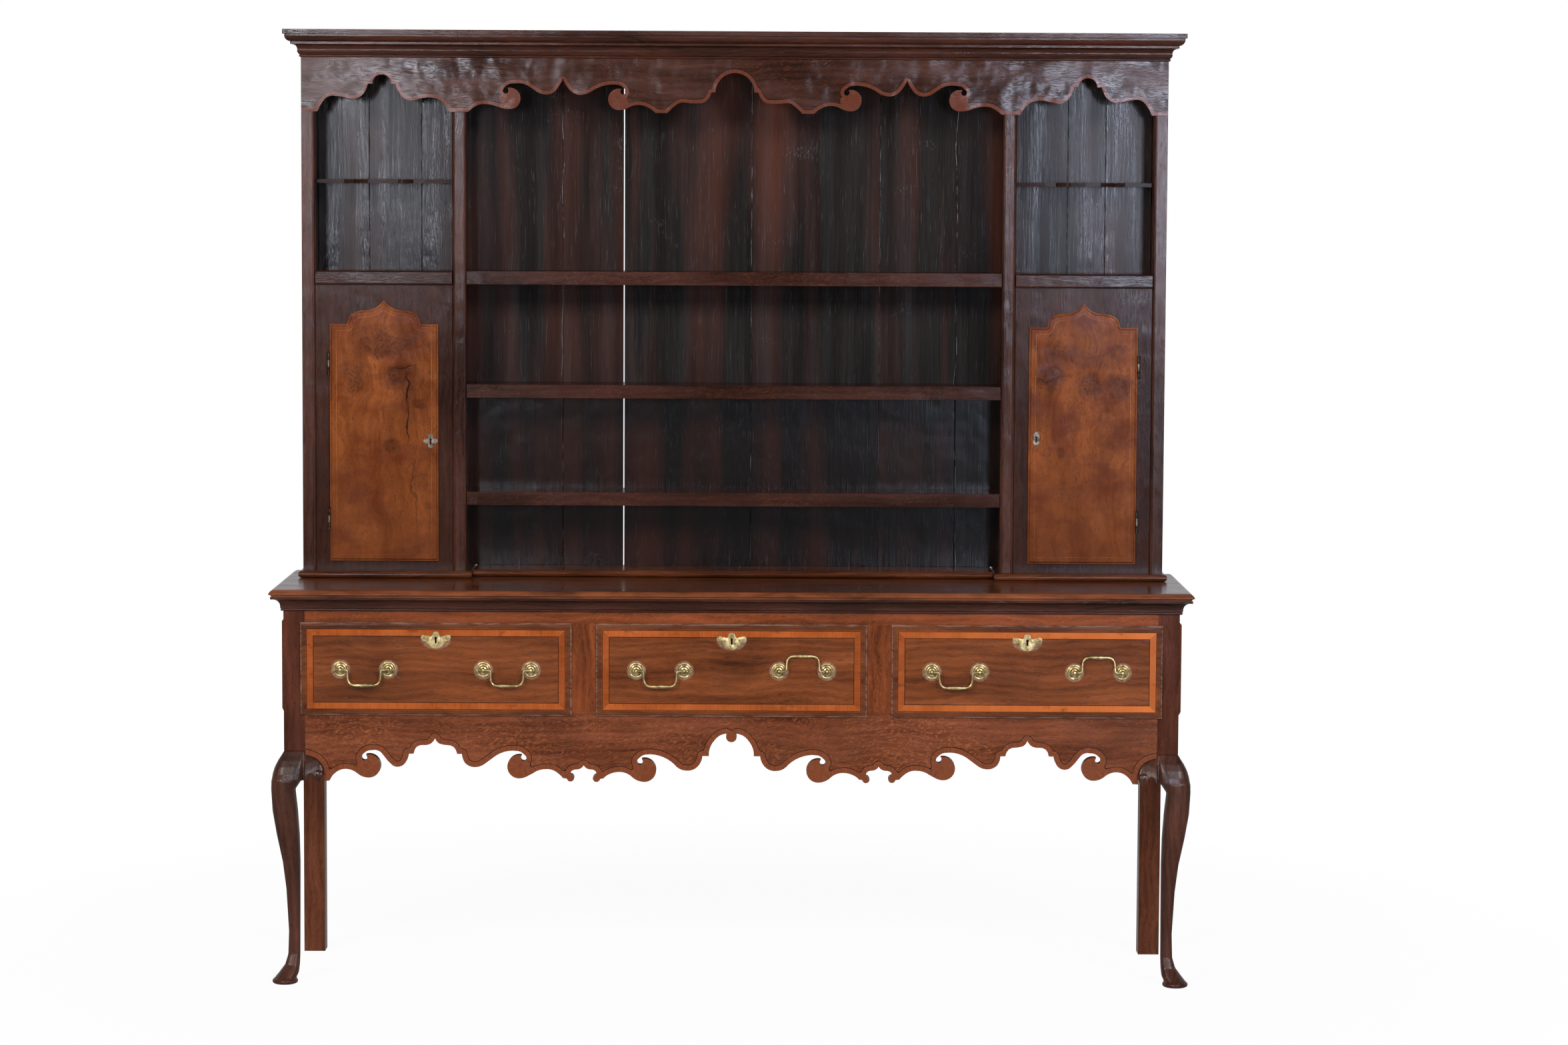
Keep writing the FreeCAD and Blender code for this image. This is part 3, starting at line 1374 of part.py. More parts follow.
def inner_shelves():
    """Plain shelf inside each cupboard."""
    y0 = cupboard_face + door_body + 6
    shelf = box(partition_centre + rack_board / 2, rack_inner, y0, backs_front,
                inner_shelf_height - shelf_thickness, inner_shelf_height)
    return both(shelf)


def all_pieces():
    """Every node of the dresser by name."""
    leg = front_leg()
    nodes = {
        "base_top": base_top(),
        "base_top_moulding": under_moulding(),
        "front_leg_right": leg,
        "front_leg_left": mirrored(leg),
        "knee_brackets": knee_brackets(),
        "back_legs": both(back_leg()),
        "front_frame": front_frame(),
        "apron": apron(),
        "base_sides": base_sides(),
        "side_panels": side_panels(),
        "base_back": base_back(),
        "drawer_supports": drawer_supports(),
        "rack_uprights": rack_uprights(),
        "upright_facings": upright_facings(),
        "long_shelves": long_shelves(),
        "rack_backs": rack_backs(),
        "rack_top": rack_top(),
        "cornice": cornice(),
        "frieze": frieze(),
        "soles": both(sole()),
        "bottom_board": bottom_board(),
        "cupboard_tops": cupboard_tops(),
        "cupboard_frames": cupboard_frames(),
        "spice_shelves": spice_shelves(),
        "inner_shelves": inner_shelves(),
        "frame_hinges": frame_hinges(),
    }
    for name, x in drawer_centres:
        nodes["drawer_" + name + "_front"] = drawer_front(x)
        nodes["drawer_" + name + "_banding"] = drawer_band(x)
        nodes["drawer_" + name + "_box"] = drawer_box(x)
        nodes["drawer_" + name + "_brass"] = drawer_brass(x)
        nodes["drawer_" + name + "_lock"] = drawer_lock(x)
        nodes["drawer_" + name + "_bolt"] = drawer_bolt(x)
        nodes["drawer_" + name + "_bail_left"] = bail(x - handle_offset, False)
        nodes["drawer_" + name + "_bail_right"] = bail(x + handle_offset, name != "left")
    nodes["door_right"] = door(right_plate_rise)
    nodes["door_right_brass"] = door_brass(right_plate_rise, small_plate)
    nodes["door_right_bolt"] = door_bolt(right_plate_rise)
    nodes["door_left"] = mirrored(door(left_plate_rise))
    nodes["door_left_brass"] = mirrored(door_brass(left_plate_rise, trefoil))
    nodes["door_left_bolt"] = mirrored(door_bolt(left_plate_rise))
    return nodes


os.makedirs("parts", exist_ok=True)
for node_name, node_shape in all_pieces().items():
    node_shape.exportStep("parts/" + node_name + ".step")
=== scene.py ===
"""Dresses the sideboard with hutch: timbers, crossbanding, brass and the soft studio it stands in."""

import logging
import math
from collections.abc import Callable, Iterator
from contextlib import contextmanager
from dataclasses import dataclass
from enum import Enum

import bpy
import numpy as np
from mathutils import Matrix, Vector


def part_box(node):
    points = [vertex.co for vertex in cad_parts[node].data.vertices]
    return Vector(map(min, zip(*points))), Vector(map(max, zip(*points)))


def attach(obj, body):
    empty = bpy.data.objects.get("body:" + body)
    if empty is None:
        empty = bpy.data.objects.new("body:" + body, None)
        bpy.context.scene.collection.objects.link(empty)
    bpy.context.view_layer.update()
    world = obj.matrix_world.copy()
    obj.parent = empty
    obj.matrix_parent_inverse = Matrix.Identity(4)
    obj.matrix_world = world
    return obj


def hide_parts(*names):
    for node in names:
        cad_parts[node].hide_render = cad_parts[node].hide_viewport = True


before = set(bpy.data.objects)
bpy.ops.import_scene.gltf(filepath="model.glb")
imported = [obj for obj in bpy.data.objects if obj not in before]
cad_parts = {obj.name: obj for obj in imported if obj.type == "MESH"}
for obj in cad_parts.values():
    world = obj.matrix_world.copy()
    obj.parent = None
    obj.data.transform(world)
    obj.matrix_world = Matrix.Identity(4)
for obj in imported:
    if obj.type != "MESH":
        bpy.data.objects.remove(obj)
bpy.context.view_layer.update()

LOG = logging.getLogger("sideboard")
MM = 0.001
SIDES = {"left": -1, "right": 1}
DRAWERS = ("left", "centre", "right")
FORWARD = Vector((0.0, -1.0, 0.0))

DRAWER_PITCH = 628.0
DRAWER_MIDDLE = 677.5
HANDLE_OFFSET = 151.5
HANDLE_HALF = 50.8
PLATE_RISE = 63.0

Links = dict[str | int, object]
Object = bpy.types.Object
Material = bpy.types.Material
Socket = bpy.types.NodeSocket
Tree = bpy.types.NodeTree
Number = Socket | float
Stations = tuple[tuple[float, float], ...]


class Grain(Enum):
    """Which way the fibres of a board run, as the turn that brings them onto the pattern's first axis."""

    ALONG = (0.0, 0.0, 0.0)
    UPRIGHT = (0.0, math.pi / 2, 0.0)
    DEPTH = (0.0, 0.0, -math.pi / 2)


def linear(colour: str) -> tuple[float, float, float, float]:
    """Turn an sRGB hex colour into the linear values that a shader takes.

    Args:
        colour: Six hex digits after a hash sign.

    Returns:
        Red, green, blue and an alpha of one.
    """
    parts = [int(colour[i:i + 2], 16) / 255 for i in (1, 3, 5)]
    bent = [p / 12.92 if p <= 0.04045 else ((p + 0.055) / 1.055) ** 2.4 for p in parts]
    return (bent[0], bent[1], bent[2], 1.0)


def put(tree: Tree, kind: str, links: Links | None = None, **settings: object) -> bpy.types.Node:
    """Add one node with its settings, and fill or link its inputs.

    Args:
        tree: The node tree of a material or world.
        kind: The node's type without its leading ShaderNode.
        links: Input name or number to a socket, a plain value or a hex colour.
        settings: Properties of the node itself.

    Returns:
        The new node.
    """
    node = tree.nodes.new("ShaderNode" + kind)
    for name, value in settings.items():
        setattr(node, name, value)
    for name, value in (links or {}).items():
        if isinstance(value, Socket):
            tree.links.new(value, node.inputs[name])
        else:
            node.inputs[name].default_value = linear(value) if isinstance(value, str) else value
    return node


class Loom:
    """The nodes of one material. Each method adds a few and gives the socket that they end in."""

    def __init__(self, name: str) -> None:
        """Make an empty material of a name.

        Args:
            name: The material's name.
        """
        self.material = bpy.data.materials.new(name)
        self.material.use_nodes = True
        self.tree = self.material.node_tree
        self.tree.nodes.clear()

    def here(self) -> Socket:
        """Give plain object coordinates."""
        return put(self.tree, "TexCoord").outputs["Object"]

    def axes(self) -> tuple[Socket, Socket]:
        """Give the object's x and z as two numbers."""
        split = put(self.tree, "SeparateXYZ", {0: self.here()})
        return split.outputs["X"], split.outputs["Z"]

    def maths(self, operation: str, *terms: Number) -> Socket:
        """Work out one operation on numbers."""
        return put(self.tree, "Math", dict(enumerate(terms)), operation=operation).outputs[0]

    def times(self, one: Number, other: Number) -> Socket:
        """Multiply two numbers."""
        return self.maths("MULTIPLY", one, other)

    def vector(self, operation: str, *terms: Socket | tuple) -> Socket:
        """Work out one operation on places. A length comes back as a number."""
        node = put(self.tree, "VectorMath", dict(enumerate(terms)), operation=operation)
        return node.outputs["Value" if operation == "LENGTH" else "Vector"]

    def combined(self, x: Number, y: Number, z: Number = 0.0) -> Socket:
        """Make a place of three numbers."""
        return put(self.tree, "CombineXYZ", {"X": x, "Y": y, "Z": z}).outputs["Vector"]

    def between(self, value: Socket, low: float, high: float) -> Socket:
        """Give one where a value lies between two millimetre marks, and nought elsewhere."""
        return self.maths("COMPARE", value, (low + high) / 2 * MM, (high - low) / 2 * MM)

    def reach(self, value: Socket, low: float, high: float, at_low: Number = 0.0, at_high: Number = 1.0,
              clamp: bool = True) -> Socket:
        """Map a value from one range onto another and hold it there."""
        return put(self.tree, "MapRange", {"Value": value, "From Min": low, "From Max": high,
                                           "To Min": at_low, "To Max": at_high}, clamp=clamp).outputs["Result"]

    def laid(self, share: Socket, below: Socket | str, above: Socket | str) -> Socket:
        """Lay one colour over another by a share."""
        return put(self.tree, "MixRGB", {"Fac": share, "Color1": below, "Color2": above}).outputs["Color"]

    def layered(self, ground: Socket | str, *layers: tuple[Socket, Socket | str]) -> Socket:
        """Lay several colours over a ground, one after another.

        Args:
            ground: The lowest colour.
            layers: Each colour's share and the colour.

        Returns:
            The colour on top.
        """
        for share, colour in layers:
            ground = self.laid(share, ground, colour)
        return ground

    def mapped(self, place: Socket, **moves: tuple[float, float, float]) -> Socket:
        """Scale, turn and shift coordinates."""
        return put(self.tree, "Mapping", {"Vector": place, **moves}).outputs["Vector"]

    def noise(self, place: Socket, scale: float, detail: float, **more: float) -> Socket:
        """Make noise around one half."""
        return put(self.tree, "TexNoise", {"Vector": place, "Scale": scale, "Detail": detail,
                                           **more}).outputs["Fac"]

    def stretched(self, place: Socket, long: float, wide: float, detail: float = 2.0) -> Socket:
        """Make noise whose patches have a length along the fibres and a width across them.

        Args:
            place: Coordinates with the fibres along the first axis.
            long: Length of a patch in millimetres.
            wide: Width of a patch in millimetres.
            detail: How much finer detail rides on it.

        Returns:
            The noise's value, around one half.
        """
        scaled = self.mapped(place, Scale=(1000 / long, 1000 / wide, 1000 / wide))
        return self.noise(scaled, 1.0, detail, Roughness=0.55)

    def wandering(self, place: Socket, far: float, size: float) -> Socket:
        """Let coordinates wander, so that fibres bend.

        Args:
            place: The coordinates.
            far: How far they wander in millimetres.
            size: How long one bend is in millimetres.

        Returns:
            The bent coordinates.
        """
        drift = put(self.tree, "TexNoise", {"Vector": place, "Scale": 1000 / size, "Detail": 2.0})
        way = self.vector("SUBTRACT", drift.outputs["Color"], (0.5, 0.5, 0.5))
        return self.vector("MULTIPLY_ADD", way, (far * MM * 4,) * 3, place)

    def weighed(self, *terms: tuple[Socket, float]) -> Socket:
        """Add patterns by weight round a middle of one half.

        Args:
            terms: Each pattern with its weight.

        Returns:
            Their sum.
        """
        total: Number = 0.5 - sum(weight for _, weight in terms) / 2
        for socket, weight in terms:
            total = self.maths("MULTIPLY_ADD", socket, weight, total)
        return total

    def rounded(self, radius: float) -> Socket:
        """Give a normal that rounds edges over by some millimetres."""
        return put(self.tree, "Bevel", {"Radius": radius * MM}, samples=4).outputs["Normal"]

    def bumped(self, height: Socket, strength: float, far: float, normal: Socket) -> Socket:
        """Raise a normal by a height that reaches some millimetres."""
        return put(self.tree, "Bump", {"Height": height, "Strength": strength, "Distance": far * MM,
                                       "Normal": normal}).outputs["Normal"]

    def shaded(self, **inputs: object) -> Material:
        """End the nodes in one shader, and give the finished material.

        Args:
            inputs: The shader's inputs, with underscores for the spaces in their names.

        Returns:
            The material.
        """
        shader = put(self.tree, "BsdfPrincipled",
                     {name.replace("_", " "): value for name, value in inputs.items()})
        put(self.tree, "OutputMaterial", {"Surface": shader.outputs["BSDF"]})
        return self.material


@dataclass(frozen=True)
class Pattern:
    """Sockets that a timber recipe hands to the shader: a colour, a height and a share that dulls the wax."""

    colour: Socket
    height: Socket
    sheen: Socket


@dataclass(frozen=True)
class Timber:
    """Old, waxed oak, riven and planed by hand: growth bands, open pores, ray flecks and a dull wax polish.

    Lengths are in millimetres. Pores are drawn about three times their real width, so that they show.
    """

    name: str
    grain: Grain
    dark: str
    light: str
    ring: float = 13.0
    ring_strength: float = 0.22
    tone_strength: float = 2.0
    fibre_strength: float = 0.5
    pore: str = "#120905"
    pore_strength: float = 0.4
    fleck: str = "#96542f"
    fleck_strength: float = 0.0
    grime: str = "#160c08"
    grime_strength: float = 0.4
    roughness: float = 0.18
    specular: float = 0.15
    bump: float = 0.3
    hollows: float = 1.0
    wander: float = 10.0
    wander_size: float = 170.0
    seed: float = 0.0
    boards: tuple[float, ...] = ()
    upright_between: tuple[float, float] | None = None

    def place(self, loom: Loom) -> Socket:
        """Give coordinates turned so that fibres run along the first axis, shifted from board to board.

        Args:
            loom: The material's nodes.

        Returns:
            The coordinates.
        """
        here = loom.here()
        turned = loom.mapped(here, Rotation=self.grain.value,
                             Location=(self.seed, self.seed * 0.37, self.seed * 0.61))
        if self.upright_between:
            _, z = loom.axes()
            stand = loom.mapped(here, Rotation=Grain.UPRIGHT.value)
            turned = loom.laid(loom.between(z, *self.upright_between), turned, stand)
        if self.boards:
            x, _ = loom.axes()
            number: Number = 0.0
            for seam in self.boards:
                number = loom.maths("MULTIPLY_ADD", loom.maths("GREATER_THAN", x, seam * MM), 1.7, number)
            turned = loom.vector("ADD", turned, loom.combined(number, number, number))
        return loom.wandering(turned, self.wander, self.wander_size)

    def flecked(self, loom: Loom, place: Socket, below: Socket) -> Socket:
        """Lay the pale, wavy ray flecks of quartered oak over a colour.

        Args:
            loom: The material's nodes.
            place: Coordinates with the fibres along the first axis.
            below: The colour under the flecks.

        Returns:
            The flecked colour.
        """
        slanted = loom.mapped(loom.wandering(place, 7.0, 45.0), Rotation=(0.0, 0.28, 0.28))
        rays = loom.reach(loom.stretched(slanted, 14.0, 3.4, 1.5), 0.5, 0.7)
        strong = loom.reach(loom.stretched(place, 160.0, 70.0, 1.0), 0.4, 0.6,
                            self.fleck_strength * 0.35, self.fleck_strength)
        return loom.laid(loom.times(rays, strong), below, self.fleck)

    def pattern(self, loom: Loom) -> Pattern:
        """Lay growth bands, tone, fibres, pores, flecks and old grime over one another.

        Args:
            loom: The material's nodes.

        Returns:
            The pattern.
        """
        place = self.place(loom)
        tone = loom.stretched(place, 340.0, 48.0, 3.0)
        fibre = loom.stretched(place, 75.0, 3.0, 4.0)
        rolled = loom.mapped(place, Scale=(0.06, 1.0, 1.0), Rotation=(0.55, 0.0, 0.0))
        rings = put(loom.tree, "TexWave", {"Vector": rolled, "Scale": 314.0 / self.ring, "Distortion": 9.0,
                                           "Detail": 3.0, "Detail Scale": 0.4, "Detail Roughness": 0.6},
                    wave_type="BANDS", bands_direction="Z")
        share = loom.weighed((tone, self.tone_strength), (fibre, self.fibre_strength),
                             (rings.outputs["Fac"], -self.ring_strength))
        pores = loom.reach(loom.stretched(place, 24.0, 1.6, 1.0), 0.56, 0.68, 0.0, self.pore_strength)
        colour = loom.layered(self.dark, (share, self.light), (pores, self.pore))
        if self.fleck_strength > 0:
            colour = self.flecked(loom, place, colour)
        cloud = loom.stretched(place, 260.0, 150.0, 4.0)
        colour = loom.laid(loom.reach(cloud, 0.5, 0.72, 0.0, self.grime_strength), colour, self.grime)
        return Pattern(colour, loom.maths("MULTIPLY_ADD", pores, -1.0, fibre), tone)

    def make(self) -> Material:
        """Build the finish as a material: waxed wood with planed hollows and open fibres.

        Returns:
            The material.
        """
        loom = Loom(self.name)
        pattern = self.pattern(loom)
        dull = loom.reach(pattern.sheen, 0.3, 0.7, self.roughness - 0.07, self.roughness + 0.09, clamp=False)
        hollowed = loom.bumped(loom.noise(loom.here(), 17.0, 1.5), 1.0, self.hollows, loom.rounded(1.5))
        return loom.shaded(Base_Color=pattern.colour, Roughness=dull, IOR=1.5, Specular_IOR_Level=self.specular,
                           Coat_Weight=0.05, Coat_Roughness=0.12,
                           Normal=loom.bumped(pattern.height, self.bump, 0.6, hollowed))


@dataclass(frozen=True)
class Backboards(Timber):
    """Riven oak backboards, stained almost black by smoke and scraped, not planed: long ridges that catch light.

    Grey dust lies in the closed joints, and two boards have split along their length. The boards of the middle
    bays are redder, flatter and duller than those in the niches beside them. Painted shade darkens the boards,
    and the sheen calms, below two heights. Those heights and the edge of the bays are in metres, each as where a
    change starts and ends.
    """

    joints: tuple[float, ...] = (-805.0, -690.0, 37.0, 320.0, 733.0, 816.0)
    splits: tuple[float, ...] = (-379.0, 489.0)
    split_bend: float = 24.0
    dust: str = "#757b7c"
    dust_width: float = 1.3
    jag: float = 3.0
    red: str = "#4e2619"
    # painted shade: near-black laid over the lower boards, where the shelves shade them
    painted_shade: str = "#080605"
    bay_edge: tuple[float, float] = (0.6, 0.59)
    # heights in metres where the painted shade starts and where it is full
    painted_shade_from: tuple[float, float] = (1.6, 1.2)
    calm_from: tuple[float, float] = (1.27, 1.24)

    def dusted(self, loom: Loom, place: Socket, colour: Socket) -> Socket:
        """Lay grey dust into scratches, joints and splits, and where the boards are scuffed.

        Args:
            loom: The material's nodes.
            place: Coordinates with the fibres along the first axis.
            colour: The colour of the clean boards.

        Returns:
            The dusty colour.
        """
        x, _ = loom.axes()
        scratch = loom.reach(loom.stretched(place, 60.0, 2.2), 0.62, 0.78, 0.0, 0.2)
        colour = loom.laid(scratch, colour, self.dust)
        jagged = loom.stretched(place, 22.0, 400.0, 4.0)
        sway = loom.stretched(place, 160.0, 400.0, 1.0)
        patchy = loom.reach(loom.stretched(place, 30.0, 300.0, 4.0), 0.45, 0.58, 0.0, 0.8)
        for marks, bend in ((self.joints, 0.0), (self.splits, self.split_bend)):
            swung = loom.maths("MULTIPLY_ADD", sway, bend * MM, x)
            moved = loom.maths("MULTIPLY_ADD", jagged, self.jag * MM, swung)
            near: Number = 0.0
            for mark in marks:
                left = mark + (bend + self.jag - self.dust_width) / 2
                near = loom.maths("MAXIMUM", loom.between(moved, left, left + self.dust_width), near)
            colour = loom.laid(loom.times(near, patchy), colour, self.dust)
        rubbed = loom.reach(loom.stretched(loom.here(), 110.0, 70.0, 4.0), 0.62, 0.74, 0.0, 0.4)
        specks = loom.reach(loom.stretched(place, 9.0, 2.5, 3.0), 0.54, 0.66)
        return loom.laid(loom.times(rubbed, specks), colour, self.dust)

    def pattern(self, loom: Loom) -> Pattern:
        """Add red streaks, dust, painted shade low down and scraper ridges to the stained board.

        Args:
            loom: The material's nodes.

        Returns:
            The pattern.
        """
        ground = super().pattern(loom)
        place = self.place(loom)
        x, z = loom.axes()
        middle_bay = loom.reach(loom.maths("ABSOLUTE", x), *self.bay_edge)
        streaks = loom.reach(loom.stretched(place, 1300.0, 95.0), 0.46, 0.7, 0.0, 0.7)
        redder = loom.times(streaks, loom.reach(middle_bay, 0.0, 1.0, 0.3, 1.0))
        colour = self.dusted(loom, place, loom.laid(redder, ground.colour, self.red))
        # painted shade: the boards darken below a height, towards the lower bays
        colour = loom.laid(loom.reach(z, *self.painted_shade_from, 0.0, 0.6), colour, self.painted_shade)
        grown = loom.times(ground.height, loom.reach(middle_bay, 0.0, 1.0, 1.0, 0.4))
        raised = loom.reach(middle_bay, 0.0, 1.0, 2.6, 0.8)
        height = loom.maths("MULTIPLY_ADD", loom.stretched(place, 300.0, 3.0, 3.0), raised, grown)
        brushed = loom.weighed((loom.stretched(place, 300.0, 3.5, 4.0), 0.8),
                               (loom.stretched(place, 700.0, 36.0, 1.0), 1.0))
        sheen = loom.maths("MULTIPLY_ADD", brushed, 1.8, loom.reach(middle_bay, 0.0, 1.0, -0.4, 0.9))
        lowest_bays = loom.times(middle_bay, loom.reach(z, *self.calm_from))
        return Pattern(colour, height, loom.reach(lowest_bays, 0.0, 1.0, sheen, 0.4))


@dataclass(frozen=True)
class WornTop(Timber):
    """The base's top board: deep wax on its surface, and a front lip rubbed down to bare, tan oak."""

    rubbed: str = "#86492a"
    lip: tuple[float, float] = (832.0, 847.4)

    def pattern(self, loom: Loom) -> Pattern:
        """Rub the lip of the board pale in patches.

        Args:
            loom: The material's nodes.

        Returns:
            The pattern.
        """
        ground = super().pattern(loom)
        _, z = loom.axes()
        patch = loom.reach(loom.stretched(self.place(loom), 120.0, 30.0, 4.0), 0.38, 0.66, 0.0, 0.75)
        share = loom.times(loom.between(z, *self.lip), patch)
        return Pattern(loom.laid(share, ground.colour, self.rubbed), ground.height, ground.sheen)


@dataclass(frozen=True)
class DrawerFace(Timber):
    """A drawer front: plain oak inside its strips, darker lips with a painted highlight on their rims, and wax that
    whitened round the brass.
    """

    half_width: float = 288.5
    half_height: float = 99.5
    border: float = 14.0
    strip: float = 14.0
    lip_dark: str = "#2d150b"
    # painted highlight: pale colour of the thin line along the rims of the lips
    lip_painted_highlight: str = "#8f7364"
    groove: str = "#1b0d07"
    old_wax: str = "#b8a58e"
    rose_wax: tuple[float, float] = (17 * MM, 21.5 * MM)
    plate_wax: tuple[float, float] = (29 * MM, 33 * MM)
    plate_squeeze: float = 1.6

    def local(self, loom: Loom) -> tuple[Socket, Socket, Socket, Socket]:
        """Find a place on its own drawer.

        Args:
            loom: The material's nodes.

        Returns:
            How far it lies across and up from the middle, and how far in from the ends and long edges.
        """
        x, z = loom.axes()
        half = DRAWER_PITCH / 2 * MM
        aside = loom.maths("ABSOLUTE", loom.maths("WRAP", x, -half, half))
        up = loom.maths("SUBTRACT", z, DRAWER_MIDDLE * MM)
        end_in = loom.maths("SUBTRACT", self.half_width * MM, aside)
        edge_in = loom.maths("SUBTRACT", self.half_height * MM, loom.maths("ABSOLUTE", up))
        return aside, up, end_in, edge_in

    def halo(self, loom: Loom, aside: Socket, up: Socket) -> Socket:
        """Find the broken rings of old wax round the roses and the key plate.

        Args:
            loom: The material's nodes.
            aside: How far a place lies across from the drawer's middle.
            up: How far it lies above it.

        Returns:
            The share of wax.
        """
        away = loom.maths("ABSOLUTE", loom.maths("SUBTRACT", aside, HANDLE_OFFSET * MM))
        rose = loom.vector("LENGTH", loom.combined(loom.maths("SUBTRACT", away, HANDLE_HALF * MM), up))
        plate_up = loom.times(loom.maths("SUBTRACT", up, PLATE_RISE * MM), self.plate_squeeze)
        plate = loom.vector("LENGTH", loom.combined(aside, plate_up))
        around = loom.maths("MAXIMUM", loom.reach(rose, *self.rose_wax, 0.5, 0.0),
                            loom.reach(plate, *self.plate_wax, 0.25, 0.0))
        broken = loom.reach(loom.stretched(loom.here(), 7.0, 7.0, 3.0), 0.4, 0.6, 0.35, 1.0)
        return loom.times(around, broken)

    def pattern(self, loom: Loom) -> Pattern:
        """Darken the lips, paint a broken highlight along their rims, draw the groove inside the strips and leave
        wax round the brass.

        Args:
            loom: The material's nodes.

        Returns:
            The pattern.
        """
        ground = super().pattern(loom)
        aside, up, end_in, edge_in = self.local(loom)
        inward = loom.maths("MINIMUM", end_in, edge_in)
        lip = loom.reach(inward, (self.border + 0.5) * MM, (self.border - 4) * MM, 0.0, 0.35)
        # painted highlight: a thin pale line along the outer rim of each lip, broken by noise
        highlight_breaks = loom.reach(loom.stretched(self.place(loom), 40.0, 6.0, 3.0), 0.4, 0.6, 0.1, 0.8)
        highlight_rim = loom.times(loom.reach(inward, 1 * MM, 4 * MM, 1.0, 0.15), loom.reach(inward, 8 * MM, 5 * MM))
        inner = self.border + self.strip
        colour = loom.layered(
            ground.colour, (lip, self.lip_dark), (loom.times(highlight_rim, highlight_breaks), self.lip_painted_highlight),
            (loom.between(inward, inner - 0.2, inner + 1.2), self.groove),
            (self.halo(loom, aside, up), self.old_wax))
        return Pattern(colour, ground.height, ground.sheen)


@dataclass(frozen=True)
class Strips(DrawerFace):
    """Crossbanding: thin veneer with its fibres square to the strip, in glowing orange, mitred at the corners."""

    sunned: str = "#c96f36"
    shade: str = "#4a1f0c"
    joint: str = "#2a1209"
    dent: str = "#5a2a14"
    sunned_over: tuple[float, float] = (0.3, 0.9)

    def pattern(self, loom: Loom) -> Pattern:
        """Stripe the veneer across its strip on all four sides, paler towards the right end of the piece.

        Args:
            loom: The material's nodes.

        Returns:
            The pattern.
        """
        _, _, end_in, edge_in = self.local(loom)
        side = loom.maths("LESS_THAN", end_in, edge_in)
        flat = loom.mapped(loom.here(), Rotation=Grain.UPRIGHT.value)
        place = loom.laid(side, flat, loom.here())
        fine = loom.stretched(place, 40.0, 2.4, 3.0)
        tone = loom.stretched(place, 60.0, 55.0, 3.0)
        x, _ = loom.axes()
        inward = loom.maths("MINIMUM", end_in, edge_in)
        wear = loom.reach(loom.stretched(loom.here(), 24.0, 16.0, 4.0), 0.6, 0.72, 0.0, 0.55)
        colour = loom.layered(
            self.dark, (loom.weighed((fine, 1.0), (tone, 1.8)), self.light),
            (loom.reach(x, *self.sunned_over, 0.0, 0.6), self.sunned),
            (loom.reach(side, 0.0, 1.0, 0.0, 0.3), self.shade),
            (loom.between(inward, self.border - 1, self.border + 0.7), self.joint), (wear, self.dent))
        return Pattern(colour, fine, tone)


@dataclass(frozen=True)
class Banded(Timber):
    """Oak with a strip let in along its shaped edge: fibres across the strip, and a dark line at its inner side."""

    band: str = "#a4552e"
    band_dark: str = "#7a3a1c"
    band_from: float = 0.0
    band_to: float = 12.0
    line: str = "#1c0d08"
    line_width: float = 1.3

    def pattern(self, loom: Loom) -> Pattern:
        """Lay the veneer strip and its line over the ground timber.

        Args:
            loom: The material's nodes.

        Returns:
            The pattern.
        """
        ground = super().pattern(loom)
        gap, run = (put(loom.tree, "Attribute", attribute_name=name).outputs["Fac"]
                    for name in ("edge_gap", "edge_run"))
        streak = loom.noise(loom.mapped(loom.combined(run, gap), Scale=(300.0, 40.0, 1.0)), 1.0, 3.0)
        veneer = loom.laid(loom.reach(streak, 0.25, 0.8), self.band_dark, self.band)
        colour = loom.layered(
            ground.colour, (loom.between(gap, self.band_from, self.band_to), veneer),
            (loom.between(gap, self.band_to, self.band_to + self.line_width), self.line))
        return Pattern(colour, ground.height, ground.sheen)


@dataclass(frozen=True)
class Knot:
    """A place on a door where pin knots crowd: its middle, half its width and height, and how dark it is."""

    x: float
    z: float
    wide: float
    tall: float
    depth: float = 0.8


